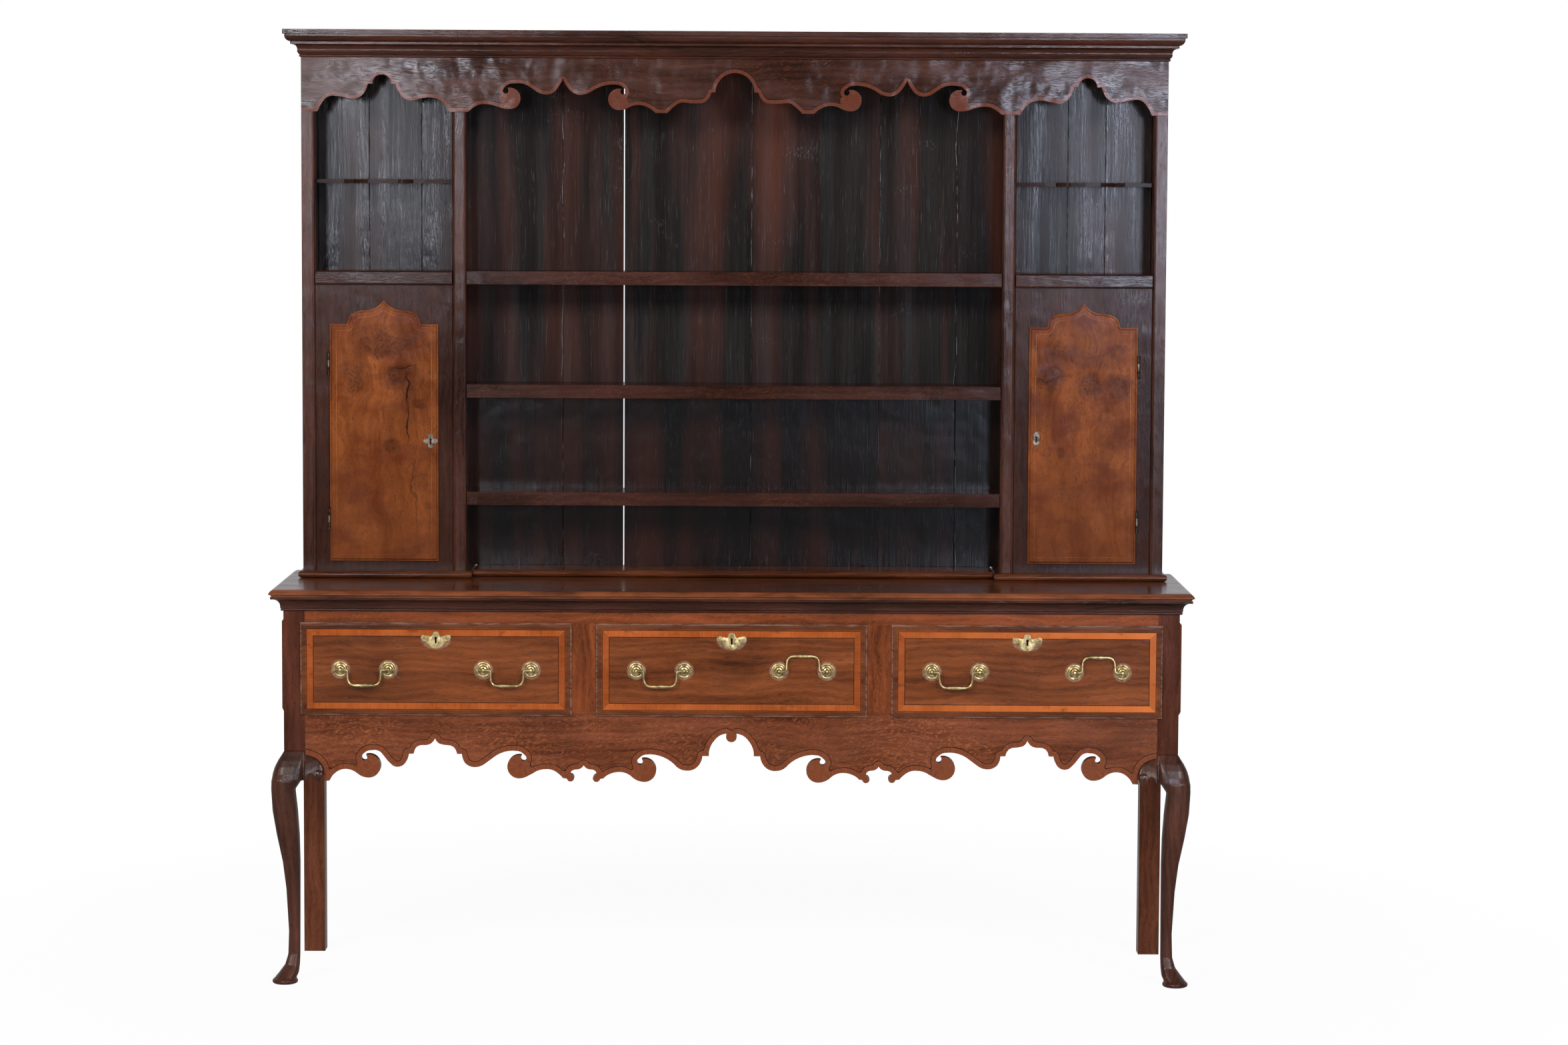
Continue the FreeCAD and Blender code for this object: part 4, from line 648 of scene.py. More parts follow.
@dataclass(frozen=True)
class Burr(Banded):
    """Burr oak, sawn from a knotty butt: honey brown, with crowds of dark pin knots and swirling figure."""

    eye: str = "#2f1208"
    eye_size: float = 8.0
    blot: str = "#4c1e0d"
    crack: str = "#150905"
    low_tone: str = "#5c301a"
    low_from: tuple[float, float] = (1.26, 0.95)
    centre: float = 761.0
    foot: float = 884.0
    knots: tuple[Knot, ...] = ()
    cracks: tuple[Knot, ...] = ()

    def crowd(self, loom: Loom, moved: Socket, spots: tuple[Knot, ...]) -> Number:
        """Give how far each place lies inside any of a few oval spots.

        Args:
            loom: The material's nodes.
            moved: Coordinates that already wander a little.
            spots: The spots.

        Returns:
            A share from nought to the deepest spot's depth.
        """
        total: Number = 0.0
        for spot in spots:
            middle = ((self.centre + spot.x) * MM, 0.0, (self.foot + spot.z) * MM)
            scaled = loom.vector("MULTIPLY", loom.vector("SUBTRACT", moved, middle),
                                 (1000 / spot.wide, 0.0, 1000 / spot.tall))
            near = loom.reach(loom.vector("LENGTH", scaled), 1.25, 0.7, 0.0, spot.depth)
            total = loom.maths("MAXIMUM", near, total)
        return total

    def pattern(self, loom: Loom) -> Pattern:
        """Scatter crowds of pin knots and a few cracks over the banded timber.

        Args:
            loom: The material's nodes.

        Returns:
            The pattern.
        """
        ground = super().pattern(loom)
        moved = loom.wandering(loom.here(), 11.0, 38.0)
        blots = loom.reach(loom.stretched(moved, 95.0, 60.0, 4.0), 0.43, 0.66, 0.0, 0.8)
        cells = put(loom.tree, "TexVoronoi", {"Vector": moved, "Scale": 1000 / self.eye_size, "Randomness": 1.0})
        eyes = loom.reach(loom.reach(cells.outputs["Distance"], 0.5, 0.2), 0.0, 1.0, 0.58, 1.0)
        _, z = loom.axes()
        colour = loom.layered(
            ground.colour, (blots, self.blot), (loom.times(eyes, self.crowd(loom, moved, self.knots)), self.eye),
            (self.crowd(loom, moved, self.cracks), self.crack),
            (loom.reach(z, *self.low_from, 0.0, 0.45), self.low_tone))
        return Pattern(colour, ground.height, ground.sheen)


@dataclass(frozen=True)
class Metal:
    """Cast and filed metal, handled for centuries: soft gloss, tarnish in the low places."""

    name: str
    bright: str
    tarnish: str
    roughness: float = 0.32
    metallic: float = 1.0
    patch: float = 9.0

    def make(self) -> Material:
        """Build the finish as a material.

        Returns:
            The material.
        """
        loom = Loom(self.name)
        here = loom.here()
        cloud = loom.noise(here, 1000 / self.patch, 4.0)
        return loom.shaded(
            Base_Color=loom.laid(loom.reach(cloud, 0.36, 0.6), self.tarnish, self.bright), Metallic=self.metallic,
            Roughness=loom.reach(cloud, 0.3, 0.7, self.roughness + 0.12, self.roughness - 0.06),
            Normal=loom.bumped(loom.noise(here, 700.0, 2.0), 0.15, 0.2, loom.rounded(0.5)))


class Bench:
    """Moves of the hand that every piece needs."""

    @staticmethod
    def take(*pieces: Object) -> None:
        """Leave edit mode and select some pieces or none. The first one becomes active."""
        if bpy.context.object and bpy.context.object.mode != "OBJECT":
            bpy.ops.object.mode_set(mode="OBJECT")
        bpy.ops.object.select_all(action="DESELECT")
        for piece in pieces:
            piece.select_set(True)
        if pieces:
            bpy.context.view_layer.objects.active = pieces[0]

    @staticmethod
    @contextmanager
    def editing(piece: Object, action: str = "SELECT") -> Iterator[None]:
        """Open a piece in edit mode, select all or none of it, and close it after the work.

        Args:
            piece: The piece.
            action: SELECT for all of it, DESELECT for none.
        """
        Bench.take(piece)
        bpy.ops.object.mode_set(mode="EDIT")
        bpy.ops.mesh.select_all(action=action)
        yield
        bpy.ops.object.mode_set(mode="OBJECT")

    @staticmethod
    def linked(name: str, data: bpy.types.ID) -> Object:
        """Make an object of its data and put it in the scene.

        Args:
            name: The object's name.
            data: A mesh, a light or a camera.

        Returns:
            The object.
        """
        thing = bpy.data.objects.new(name, data)
        bpy.context.scene.collection.objects.link(thing)
        return thing

    @staticmethod
    def merged_copy(node: str, name: str) -> Object:
        """Copy a node's mesh as a new piece, with its loose triangles joined and flat faces made whole.

        Args:
            node: The node to copy.
            name: The new piece's name.

        Returns:
            The new piece.
        """
        piece = Bench.linked(name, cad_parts[node].data.copy())
        with Bench.editing(piece):
            bpy.ops.mesh.remove_doubles(threshold=0.02 * MM)
            bpy.ops.mesh.dissolve_limited(angle_limit=math.radians(0.4), use_dissolve_boundaries=False)
        return piece

    @staticmethod
    def keep(piece: Object, wanted: Callable[[Vector], bool]) -> None:
        """Delete every point of a piece that a test turns down.

        Args:
            piece: The piece to thin out.
            wanted: Says of a point's place whether it stays.
        """
        with Bench.editing(piece, "DESELECT"):
            bpy.ops.object.mode_set(mode="OBJECT")
            for point in piece.data.vertices:
                point.select = not wanted(point.co)
            bpy.ops.object.mode_set(mode="EDIT")
            bpy.ops.mesh.delete(type="VERT")

    @staticmethod
    def split_off(piece: Object, height: float, above: bool) -> None:
        """Cut a piece level at a height, close the cut, and keep what lies above or below it.

        Args:
            piece: The piece to cut.
            height: Height of the cut in metres.
            above: Whether the upper part is kept.
        """
        with Bench.editing(piece):
            bpy.ops.mesh.bisect(plane_co=(0.0, 0.0, height), plane_no=(0.0, 0.0, 1.0), use_fill=True,
                                clear_inner=above, clear_outer=not above)

    @staticmethod
    def cut_into_cells(piece: Object, cell: float, axis: int, low: float, high: float) -> None:
        """Bisect a piece with evenly spaced planes, so that it can carry a fine pattern of its own.

        Args:
            piece: The piece to cut.
            cell: Distance between two planes in metres. The first lies half of it in.
            axis: 0, 1 or 2 for planes square to x, y or z.
            low: Where the piece begins on that axis.
            high: Where it ends.
        """
        normal = [float(axis == way) for way in range(3)]
        with Bench.editing(piece):
            for place in np.arange(low + cell / 2, high, cell):
                bpy.ops.mesh.select_all(action="SELECT")
                bpy.ops.mesh.bisect(plane_co=[float(place) * share for share in normal], plane_no=normal)

    @staticmethod
    def joined(name: str, pieces: list[Object]) -> Object:
        """Join pieces into the first one and name it.

        Args:
            name: The joined piece's name.
            pieces: The pieces.

        Returns:
            The joined piece.
        """
        Bench.take(*pieces)
        bpy.ops.object.join()
        pieces[0].name = name
        return pieces[0]

    @staticmethod
    def work(piece: Object, kind: str, **settings: object) -> None:
        """Put one modifier on a piece and apply it.

        Args:
            piece: The piece to work on.
            kind: The modifier's type.
            settings: Its properties.
        """
        Bench.take(piece)
        modifier = piece.modifiers.new(kind.lower(), kind)
        for name, value in settings.items():
            setattr(modifier, name, value)
        bpy.ops.object.modifier_apply(modifier=modifier.name)

    @staticmethod
    def turned(name: str, stations: Stations, start: Vector, axis: Vector, sides: int) -> Object:
        """Turn a round piece on the lathe: a disc is drawn out and narrowed or widened station by station.

        Args:
            name: The piece's name.
            stations: Distance along the axis and radius, in millimetres.
            start: Where the axis begins, in metres.
            axis: The way it runs.
            sides: How many facets go round.

        Returns:
            The closed piece.
        """
        Bench.take()
        bpy.ops.mesh.primitive_circle_add(vertices=sides, radius=stations[0][1] * MM, fill_type="NGON",
                                          location=start + axis * stations[0][0] * MM,
                                          rotation=axis.to_track_quat("Z", "Y").to_euler())
        piece = bpy.context.object
        piece.name = name
        bpy.ops.object.transform_apply(location=True, rotation=True, scale=True)
        with Bench.editing(piece):
            for (was, old), (now, new) in zip(stations, stations[1:]):
                bpy.ops.mesh.extrude_region_move(TRANSFORM_OT_translate={"value": axis * (now - was) * MM})
                bpy.ops.transform.resize(value=(new / old,) * 3, center_override=start + axis * now * MM)
            bpy.ops.mesh.select_all(action="SELECT")
            bpy.ops.mesh.normals_make_consistent(inside=False)
        return piece

    @staticmethod
    def copied(piece: Object, shift: tuple[float, float, float]) -> Object:
        """Copy a piece with a mesh of its own, moved by some metres.

        Args:
            piece: The piece to copy.
            shift: How far along x, y and z.

        Returns:
            The copy.
        """
        twin = Bench.linked(piece.name, piece.data.copy())
        twin.data.transform(Matrix.Translation(shift))
        return twin

    @staticmethod
    def dress(piece: Object, material: Material) -> None:
        """Give a whole piece one material.

        Args:
            piece: The piece.
            material: Its material.
        """
        piece.data.materials.clear()
        piece.data.materials.append(material)
        piece.data.polygons.foreach_set("material_index", [0] * len(piece.data.polygons))

    @staticmethod
    def fit(piece: Object, material: Material, edge: float, body: str, slot: str, *nodes: str) -> None:
        """Dress a finished piece, shade it smooth, and let it ride in its nodes' stead.

        Args:
            piece: The piece.
            material: Its finish.
            edge: Edges sharper than this many degrees stay sharp.
            body: The body that it rides on.
            slot: Not used.
            nodes: The nodes that it stands for, if any.
        """
        Bench.dress(piece, material)
        Bench.take(piece)
        bpy.ops.object.shade_smooth_by_angle(angle=math.radians(edge))
        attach(piece, body)
        if nodes:
            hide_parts(*nodes)
        LOG.info("%s rides on %s", piece.name, body)


@dataclass
class ShapedBoard:
    """A flat board with a cut outline, whose face carries its distance from the cut edge and its way along it.

    Only the cut edge counts: straight ends, and a straight top where the strip stops short of it, are left out.
    The strip covers the scrolls whole, and points behind the face are set far off it. Points are measured in
    batches, which saves memory.
    """

    node: str
    body: str
    slot: str
    finish: Banded
    cell: float = 6.0
    face_depth: float = 0.4
    all_round: bool = False
    scrolls: tuple[tuple[float, float, float], ...] = ()
    scroll_rim: float = 0.6
    hidden_gap: float = 60.0
    end_play: float = 0.5
    crease: float = 40.0
    batch: int = 4000

    def border_edges(self, mesh: bpy.types.Mesh) -> list[tuple[int, int]]:
        """Find the edges that only one face of the board's front uses.

        Args:
            mesh: The merged board's mesh.

        Returns:
            Pairs of point numbers.
        """
        front = min(v.co.y for v in mesh.vertices) + self.face_depth * MM
        use: dict[tuple[int, int], int] = {}
        for face in mesh.polygons:
            if face.normal.y < -0.99 and face.center.y < front:
                for key in face.edge_keys:
                    use[key] = use.get(key, 0) + 1
        return [key for key, count in use.items() if count == 1]

    def outline(self, piece: Object) -> tuple[np.ndarray, np.ndarray, np.ndarray]:
        """Follow the border of the piece's front face.

        Args:
            piece: The merged board.

        Returns:
            The starts and the ends of the border's edges, and the way run at each start.
        """
        near: dict[int, list[int]] = {}
        for a, b in self.border_edges(piece.data):
            near.setdefault(a, []).append(b)
            near.setdefault(b, []).append(a)
        left = set(near)
        chain: list[tuple[int, int]] = []
        while left:
            here = left.pop()
            while True:
                ahead = [n for n in near[here] if n in left]
                if not ahead:
                    chain += [(here, n) for n in near[here] if (n, here) not in chain][:1]
                    break
                chain.append((here, ahead[0]))
                left.discard(ahead[0])
                here = ahead[0]
        points = piece.data.vertices
        starts, ends = (np.array([(points[pair[end]].co.x, points[pair[end]].co.z) for pair in chain])
                        for end in (0, 1))
        run = np.concatenate(([0.0], np.cumsum(np.hypot(*(ends - starts).T))[:-1]))
        if self.all_round:
            return starts, ends, run
        low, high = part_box(self.node)
        middle, half = (low.x + high.x) / 2, (high.x - low.x) / 2
        at_end = np.minimum(abs(starts[:, 0] - middle), abs(ends[:, 0] - middle)) > half - self.end_play * MM
        at_top = np.minimum(starts[:, 1], ends[:, 1]) > high.z - self.end_play * MM
        cut = ~(at_end | at_top)
        return starts[cut], ends[cut], run[cut]

    def measure(self, piece: Object, starts: np.ndarray, ends: np.ndarray, run: np.ndarray) -> None:
        """Write each point's distance from the border, and its way along it, as attributes.

        Args:
            piece: The board, cut into cells.
            starts: Starts of the border's edges.
            ends: Ends of the border's edges.
            run: Way run at each start.
        """
        mesh = piece.data
        points = np.zeros(len(mesh.vertices) * 3)
        mesh.vertices.foreach_get("co", points)
        points = points.reshape(-1, 3)
        flat = points[:, [0, 2]]
        along = ends - starts
        square = np.maximum((along ** 2).sum(1), 1e-12)
        gap, way = np.zeros(len(flat)), np.zeros(len(flat))
        for begin in range(0, len(flat), self.batch):
            rows = slice(begin, begin + self.batch)
            part = flat[rows, None, :] - starts[None]
            share = np.clip((part * along[None]).sum(2) / square, 0, 1)
            off = np.hypot(*np.moveaxis(part - share[:, :, None] * along[None], 2, 0))
            best = off.argmin(1)
            each = np.arange(len(best))
            gap[rows] = off[each, best]
            way[rows] = run[best] + share[each, best] * np.sqrt(square[best])
        for x, z, radius in self.scrolls:
            inside = np.hypot(abs(flat[:, 0]) - x * MM, flat[:, 1] - z * MM) < radius * MM
            gap[inside] = np.minimum(gap[inside], (self.finish.band_to - self.scroll_rim) * MM)
        behind = points[:, 1] > points[:, 1].min() + self.face_depth * MM + 1e-6
        gap[behind] += self.hidden_gap * MM
        for name, values in (("edge_gap", gap), ("edge_run", way)):
            mesh.attributes.new(name, "FLOAT", "POINT").data.foreach_set("value", values.astype(np.float32))

    def build(self) -> None:
        """Make the board, measure its face and dress it."""
        low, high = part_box(self.node)
        piece = Bench.merged_copy(self.node, self.node + "_board")
        border = self.outline(piece)
        for axis in (0, 2):
            Bench.cut_into_cells(piece, self.cell * MM, axis, low[axis], high[axis])
        self.measure(piece, *border)
        Bench.fit(piece, self.finish.make(), self.crease, self.body, self.slot, self.node)


@dataclass
class FrontLegs:
    """Cabriole front legs: a square post, and under it knee, two scrolled ears, shin and pad in one carving."""

    knee_top: float = 501.0
    grid: float = 1.5
    crease: float = 50.0
    ear_inset: float = 30.5
    ear_height: float = 450.0
    ear_reach: float = 15.0
    ear_beside: float = 45.0
    post_inner: float = 907.0
    carcass_half: float = 952.0
    face: float = -188.0
    volute: Stations = ((-14.0, 9.0), (0.0, 9.6), (1.6, 9.2), (2.2, 8.2), (1.2, 7.2), (1.4, 6.2), (2.6, 5.4),
                        (3.2, 4.0), (3.4, 1.2))

    def volutes(self, side: int) -> list[Object]:
        """Turn the small volutes that end the two ears of one leg.

        Args:
            side: Minus one or one.

        Returns:
            The front one and the one beside it.
        """
        front = (side * (self.post_inner - self.ear_inset), self.face - self.ear_reach, self.ear_height)
        beside = (side * (self.carcass_half + self.ear_reach), self.face + self.ear_beside + self.ear_inset,
                  self.ear_height)
        return [Bench.turned("volute", self.volute, Vector(start) * MM, axis, 28)
                for start, axis in ((front, FORWARD), (beside, Vector((side, 0.0, 0.0))))]

    def carve(self, name: str, side: int) -> Object:
        """Join shin, knee and ears, and round them over as one piece of wood.

        Args:
            name: left or right.
            side: Minus one or one.

        Returns:
            The carved leg below the post.
        """
        leg = Bench.merged_copy(f"front_leg_{name}", "leg_blank")
        Bench.split_off(leg, self.knee_top * MM, above=False)
        ears = Bench.merged_copy("knee_brackets", "ear_blank")
        Bench.keep(ears, lambda place: place.x * side > 0)
        carved = Bench.joined(f"front_leg_{name}_carved", [leg, ears] + self.volutes(side))
        Bench.work(carved, "REMESH", mode="VOXEL", voxel_size=self.grid * MM, adaptivity=0.0)
        Bench.work(carved, "SMOOTH", factor=0.5, iterations=12)
        return carved

    def build(self, post_finish: Material, leg_finish: Material) -> None:
        """Make both legs with their posts.

        Args:
            post_finish: The material of the posts.
            leg_finish: The material below them.
        """
        for name, side in SIDES.items():
            post = Bench.merged_copy(f"front_leg_{name}", f"front_post_{name}")
            Bench.split_off(post, self.knee_top * MM, above=True)
            Bench.fit(post, post_finish, self.crease, "carcass", "oak")
            Bench.fit(self.carve(name, side), leg_finish, self.crease, "carcass", "oak",
                      f"front_leg_{name}", "knee_brackets")


@dataclass
class DrawerBrass:
    """Swan-neck handles on stepped roses, and a lobed key plate, on every drawer."""

    face: float = -196.0
    pivot: float = 12.0
    lean: float = 12.0
    crease: float = 24.0
    raised: tuple[str, ...] = ("centre_right", "right_right")
    rose: Stations = (
        (0.0, 16.2), (0.8, 16.7), (1.7, 16.3), (2.1, 14.8), (1.3, 13.5), (1.2, 12.6), (2.3, 11.7), (2.7, 10.1),
        (1.7, 8.5), (1.5, 6.8), (2.4, 4.6), (3.6, 3.1), (5.0, 2.7), (6.4, 3.1), (7.3, 4.0), (8.6, 4.8),
        (10.4, 5.4), (12.0, 5.6), (13.8, 5.2), (15.2, 4.3), (16.4, 2.9), (17.1, 1.3))
    nub: Stations = ((3.0, 3.2), (5.0, 2.6), (5.8, 1.7), (6.6, 2.1), (7.6, 2.0), (8.3, 0.9))
    collar: Stations = ((3.6, 3.4), (5.3, 3.3), (5.8, 2.6), (6.0, 1.2))
    pin: Stations = ((-0.5, 1.9), (0.5, 1.9), (0.9, 1.5), (1.15, 0.7))
    pins: Stations = ((-25.0, 4.6), (25.0, 4.6), (0.0, -13.5))
    plate_face: float = -197.5
    plate_half: tuple[float, float] = (36.0, 22.0)
    wire: tuple[tuple[float, float, float], ...] = (
        (51.2, 0.0, 1.9), (47.0, 0.0, 1.9), (42.0, 0.4, 2.0), (36.6, 0.6, 2.1), (35.0, 4.2, 2.2),
        (34.9, 10.0, 2.2), (34.6, 17.0, 2.3), (33.4, 24.5, 2.4), (28.5, 31.2, 2.6), (20.5, 33.3, 3.0),
        (10.0, 33.2, 4.0), (0.0, 33.0, 4.5))

    def knob(self, outward: int) -> Object:
        """Turn a rose with its knob, the bead on the knob's outer side and the collar that takes the bail.

        Args:
            outward: Minus one or one, away from the bail.

        Returns:
            The joined piece, in the middle of the centre drawer.
        """
        start = Vector((0.0, self.face, DRAWER_MIDDLE)) * MM
        ball = start + FORWARD * self.pivot * MM
        out = Vector((outward, 0.0, 0.0))
        return Bench.joined("rose", [Bench.turned("rose", self.rose, start, FORWARD, 40),
                                     Bench.turned("nub", self.nub, ball, out, 16),
                                     Bench.turned("collar", self.collar, ball, -out, 16)])

    def bail(self, name: str, x: float, raised: bool) -> Object:
        """Draw a bail as a wire that swells to its belly, hanging or leaning on the drawer.

        Args:
            name: The piece's name.
            x: The middle of the handle in millimetres.
            raised: Whether it stands up.

        Returns:
            The bail as a mesh.
        """
        Bench.take()
        bpy.ops.curve.primitive_nurbs_path_add()
        piece = bpy.context.object
        piece.name = name
        curve = piece.data
        curve.splines.clear()
        whole = self.wire + tuple((-px, down, thick) for px, down, thick in reversed(self.wire[:-1]))
        spline = curve.splines.new("NURBS")
        spline.points.add(len(whole) - 1)
        lean = math.radians(self.lean)
        for point, (px, down, thick) in zip(spline.points, whole):
            y, z = (down * math.sin(lean), down * math.cos(lean)) if raised else (0.0, -down)
            point.co = ((x + px) * MM, (self.face - self.pivot + y) * MM, (DRAWER_MIDDLE + z) * MM, 1.0)
            point.radius = thick
        spline.order_u = 3
        spline.use_endpoint_u = True
        curve.bevel_depth = MM
        curve.bevel_resolution = 5
        curve.resolution_u = 6
        curve.use_fill_caps = True
        piece.location = (0.0, 0.0, 0.0)
        bpy.ops.object.convert(target="MESH")
        return bpy.context.object

    def plate(self, drawer: str, x: float) -> Object:
        """Cut the key plate out of a copy of the drawer's brass and file its edges round.

        Args:
            drawer: The name of the drawer.
            x: Its middle in metres.

        Returns:
            The plate.
        """
        plate = Bench.merged_copy(f"drawer_{drawer}_brass", "plate")
        wide, tall = self.plate_half
        foot = (DRAWER_MIDDLE + PLATE_RISE - tall) * MM
        Bench.keep(plate, lambda place: place.z > foot and abs(place.x - x) < wide * MM)
        Bench.work(plate, "BEVEL", width=0.45 * MM, segments=2, limit_method="ANGLE",
                   angle_limit=math.radians(50))
        return plate

    def build(self, brass: Material) -> None:
        """Make all handles and plates.

        Args:
            brass: Their material.
        """
        pin = Bench.turned("pin", self.pin, Vector((0.0, self.plate_face, DRAWER_MIDDLE + PLATE_RISE)) * MM,
                           FORWARD, 14)
        knobs = {outward: self.knob(outward) for outward in SIDES.values()}
        for drawer, offset in zip(DRAWERS, (-DRAWER_PITCH, 0.0, DRAWER_PITCH)):
            middle = offset * MM
            parts = [self.plate(drawer, middle)]
            parts += [Bench.copied(pin, (middle + px * MM, 0.0, pz * MM)) for px, pz in self.pins]
            parts += [
                Bench.copied(knob, (middle + (side * HANDLE_OFFSET + outward * HANDLE_HALF) * MM, 0.0, 0.0))
                for side in SIDES.values() for outward, knob in knobs.items()]
            Bench.fit(Bench.joined(f"drawer_{drawer}_roses_and_plate", parts), brass, self.crease,
                      f"drawer_{drawer}", "brass", f"drawer_{drawer}_brass")
            for name, side in SIDES.items():
                bail = self.bail(f"drawer_{drawer}_handle_{name}", offset + side * HANDLE_OFFSET,
                                 f"{drawer}_{name}" in self.raised)
                node = f"drawer_{drawer}_bail_{name}"
                Bench.fit(bail, brass, self.crease, node, "brass", node)
        for master in (pin, *knobs.values()):
            bpy.data.objects.remove(master)


@dataclass(frozen=True)
class Lamp:
    """A soft box: where it hangs, what it looks at, its width and height, its power and its colour."""

    name: str
    place: tuple[float, float, float]
    aim: tuple[float, float, float]
    size: tuple[float, float]
    power: float
    colour: str

    def hang(self) -> None:
        """Hang the soft box and aim it."""
        light = bpy.data.lights.new(self.name, "AREA")
        light.shape = "RECTANGLE"
        light.size, light.size_y = self.size
        light.energy = self.power
        light.color = linear(self.colour)[:3]
        box = Bench.linked(self.name, light)
        box.location = self.place
        box.rotation_euler = (Vector(self.aim) - Vector(self.place)).to_track_quat("-Z", "Y").to_euler()


@dataclass
class Studio:
    """A white cove, two large and four small soft boxes beside the camera, and the camera."""

    place: tuple[float, float, float] = (0.067, -8.623, 1.711)
    down: float = 4.86
    aside: float = 0.29
    tilt: float = 0.30
    lens: float = 91.70
    felt_strength: float = 0.24
    room_strength: float = 0.12
    backdrop_strength: float = 0.62
    floor_mirrored: float = 0.3
    shadow_reach: tuple[float, float] = (1.0, 2.4)
    shadow_share: float = 0.95
    lamps: tuple[Lamp, ...] = (
        Lamp("lamp_left", (-3.6, -6.6, 4.3), (0.0, 0.0, 1.1), (1.9, 1.9), 340.0, "#fff8f0"),
        Lamp("lamp_right", (3.6, -6.6, 4.3), (0.0, 0.0, 1.1), (1.9, 1.9), 340.0, "#f2f5ff"),
        Lamp("sheen_left", (-1.66, -7.7, 2.17), (-0.85, 0.0, 1.95), (0.42, 0.36), 30.0, "#f4f5ff"),
        Lamp("sheen_niche", (-1.52, -7.7, 1.68), (-0.78, 0.0, 1.65), (0.4, 0.6), 30.0, "#eef2ff"),
        Lamp("sheen_right", (1.58, -7.7, 1.82), (0.8, 0.0, 1.7), (0.56, 0.95), 76.0, "#dfe8ff"),
        Lamp("sheen_edge", (1.80, -7.7, 1.0), (0.9, 0.0, 1.4), (0.24, 1.3), 13.0, "#dfe8ff"),
    )

    def set_camera(self) -> None:
        """Put the camera where it sees the piece as wanted."""
        down, aside, tilt = (math.radians(a) for a in (self.down, self.aside, self.tilt))
        flat = Vector((math.cos(aside), -math.sin(aside), 0.0))
        ahead = Vector((math.sin(aside) * math.cos(down), math.cos(aside) * math.cos(down), -math.sin(down)))
        top = flat.cross(ahead)
        right = flat * math.cos(tilt) + top * math.sin(tilt)
        up = top * math.cos(tilt) - flat * math.sin(tilt)
        camera = Bench.linked("camera", bpy.data.cameras.new("camera"))
        camera.data.lens = self.lens
        camera.data.sensor_width = 36.0
        camera.data.clip_start = 0.1
        camera.data.clip_end = 60.0
        camera.matrix_world = Matrix.Translation(self.place) @ Matrix((right, up, -ahead)).transposed().to_4x4()
        bpy.context.scene.camera = camera

    def light_cove(self) -> None:
        """Make the world white to the camera, and in reflections pale behind the piece and dim before it."""
        world = bpy.data.worlds.new("cove")
        bpy.context.scene.world = world
        world.use_nodes = True
        tree = world.node_tree
        tree.nodes.clear()
        ray = put(tree, "LightPath").outputs
        way = put(tree, "SeparateXYZ", {0: put(tree, "TexCoord").outputs["Generated"]})
        behind = put(tree, "MapRange", {"Value": way.outputs["Y"], "From Min": -0.15, "From Max": 0.4,
                                        "To Min": self.room_strength, "To Max": self.backdrop_strength})
        skies = (("#ffffff", 1.0), ("#f4f6fa", behind.outputs["Result"]), ("#ffffff", self.felt_strength))
        seen, mirrored, felt = (put(tree, "Background", {"Color": colour, "Strength": strength}).outputs[0]
                                for colour, strength in skies)
        first = put(tree, "MixShader", {0: ray["Is Glossy Ray"], 1: felt, 2: mirrored})
        either = put(tree, "Math", {0: ray["Is Camera Ray"], 1: ray["Is Transmission Ray"]}, operation="MAXIMUM")
        last = put(tree, "MixShader", {0: either.outputs[0], 1: first.outputs[0], 2: seen})
        put(tree, "OutputWorld", {"Surface": last.outputs[0]})

    def lay_floor(self) -> None:
        """Lay the pale floor, which shows the camera a faint shadow near the piece and plain white beyond."""
        Bench.take()
        bpy.ops.mesh.primitive_plane_add(size=30.0, location=(0.0, 0.0, 0.0))
        floor = bpy.context.object
        floor.name = "floor"
        paper = Loom("white_seamless_paper")
        tree = paper.tree
        ray = put(tree, "LightPath").outputs
        near, far = self.shadow_reach
        away = paper.vector("LENGTH", paper.here())
        share = put(tree, "MapRange", {"Value": away, "From Min": near, "From Max": far,
                                       "To Min": self.shadow_share, "To Max": 1.0},
                    interpolation_type="SMOOTHSTEP")
        chalk = put(tree, "BsdfDiffuse", {"Color": "#f4f4f4"})
        glow, dim = (put(tree, "Emission", {"Color": "#ffffff", "Strength": strength})
                     for strength in (1.0, self.floor_mirrored))
        lit = put(tree, "MixShader", {0: paper.times(ray["Is Camera Ray"], share.outputs["Result"]),
                                      1: chalk.outputs[0], 2: glow.outputs[0]})
        paled = put(tree, "MixShader", {0: ray["Is Glossy Ray"], 1: lit.outputs[0], 2: dim.outputs[0]})
        put(tree, "OutputMaterial", {"Surface": paled.outputs[0]})
        Bench.dress(floor, paper.material)

    def build(self) -> None:
        """Set up camera, light and floor."""
        bpy.context.scene.view_settings.view_transform = "Standard"
        self.set_camera()
        for lamp in self.lamps:
            lamp.hang()
        self.light_cove()
        self.lay_floor()
        LOG.info("studio is up")


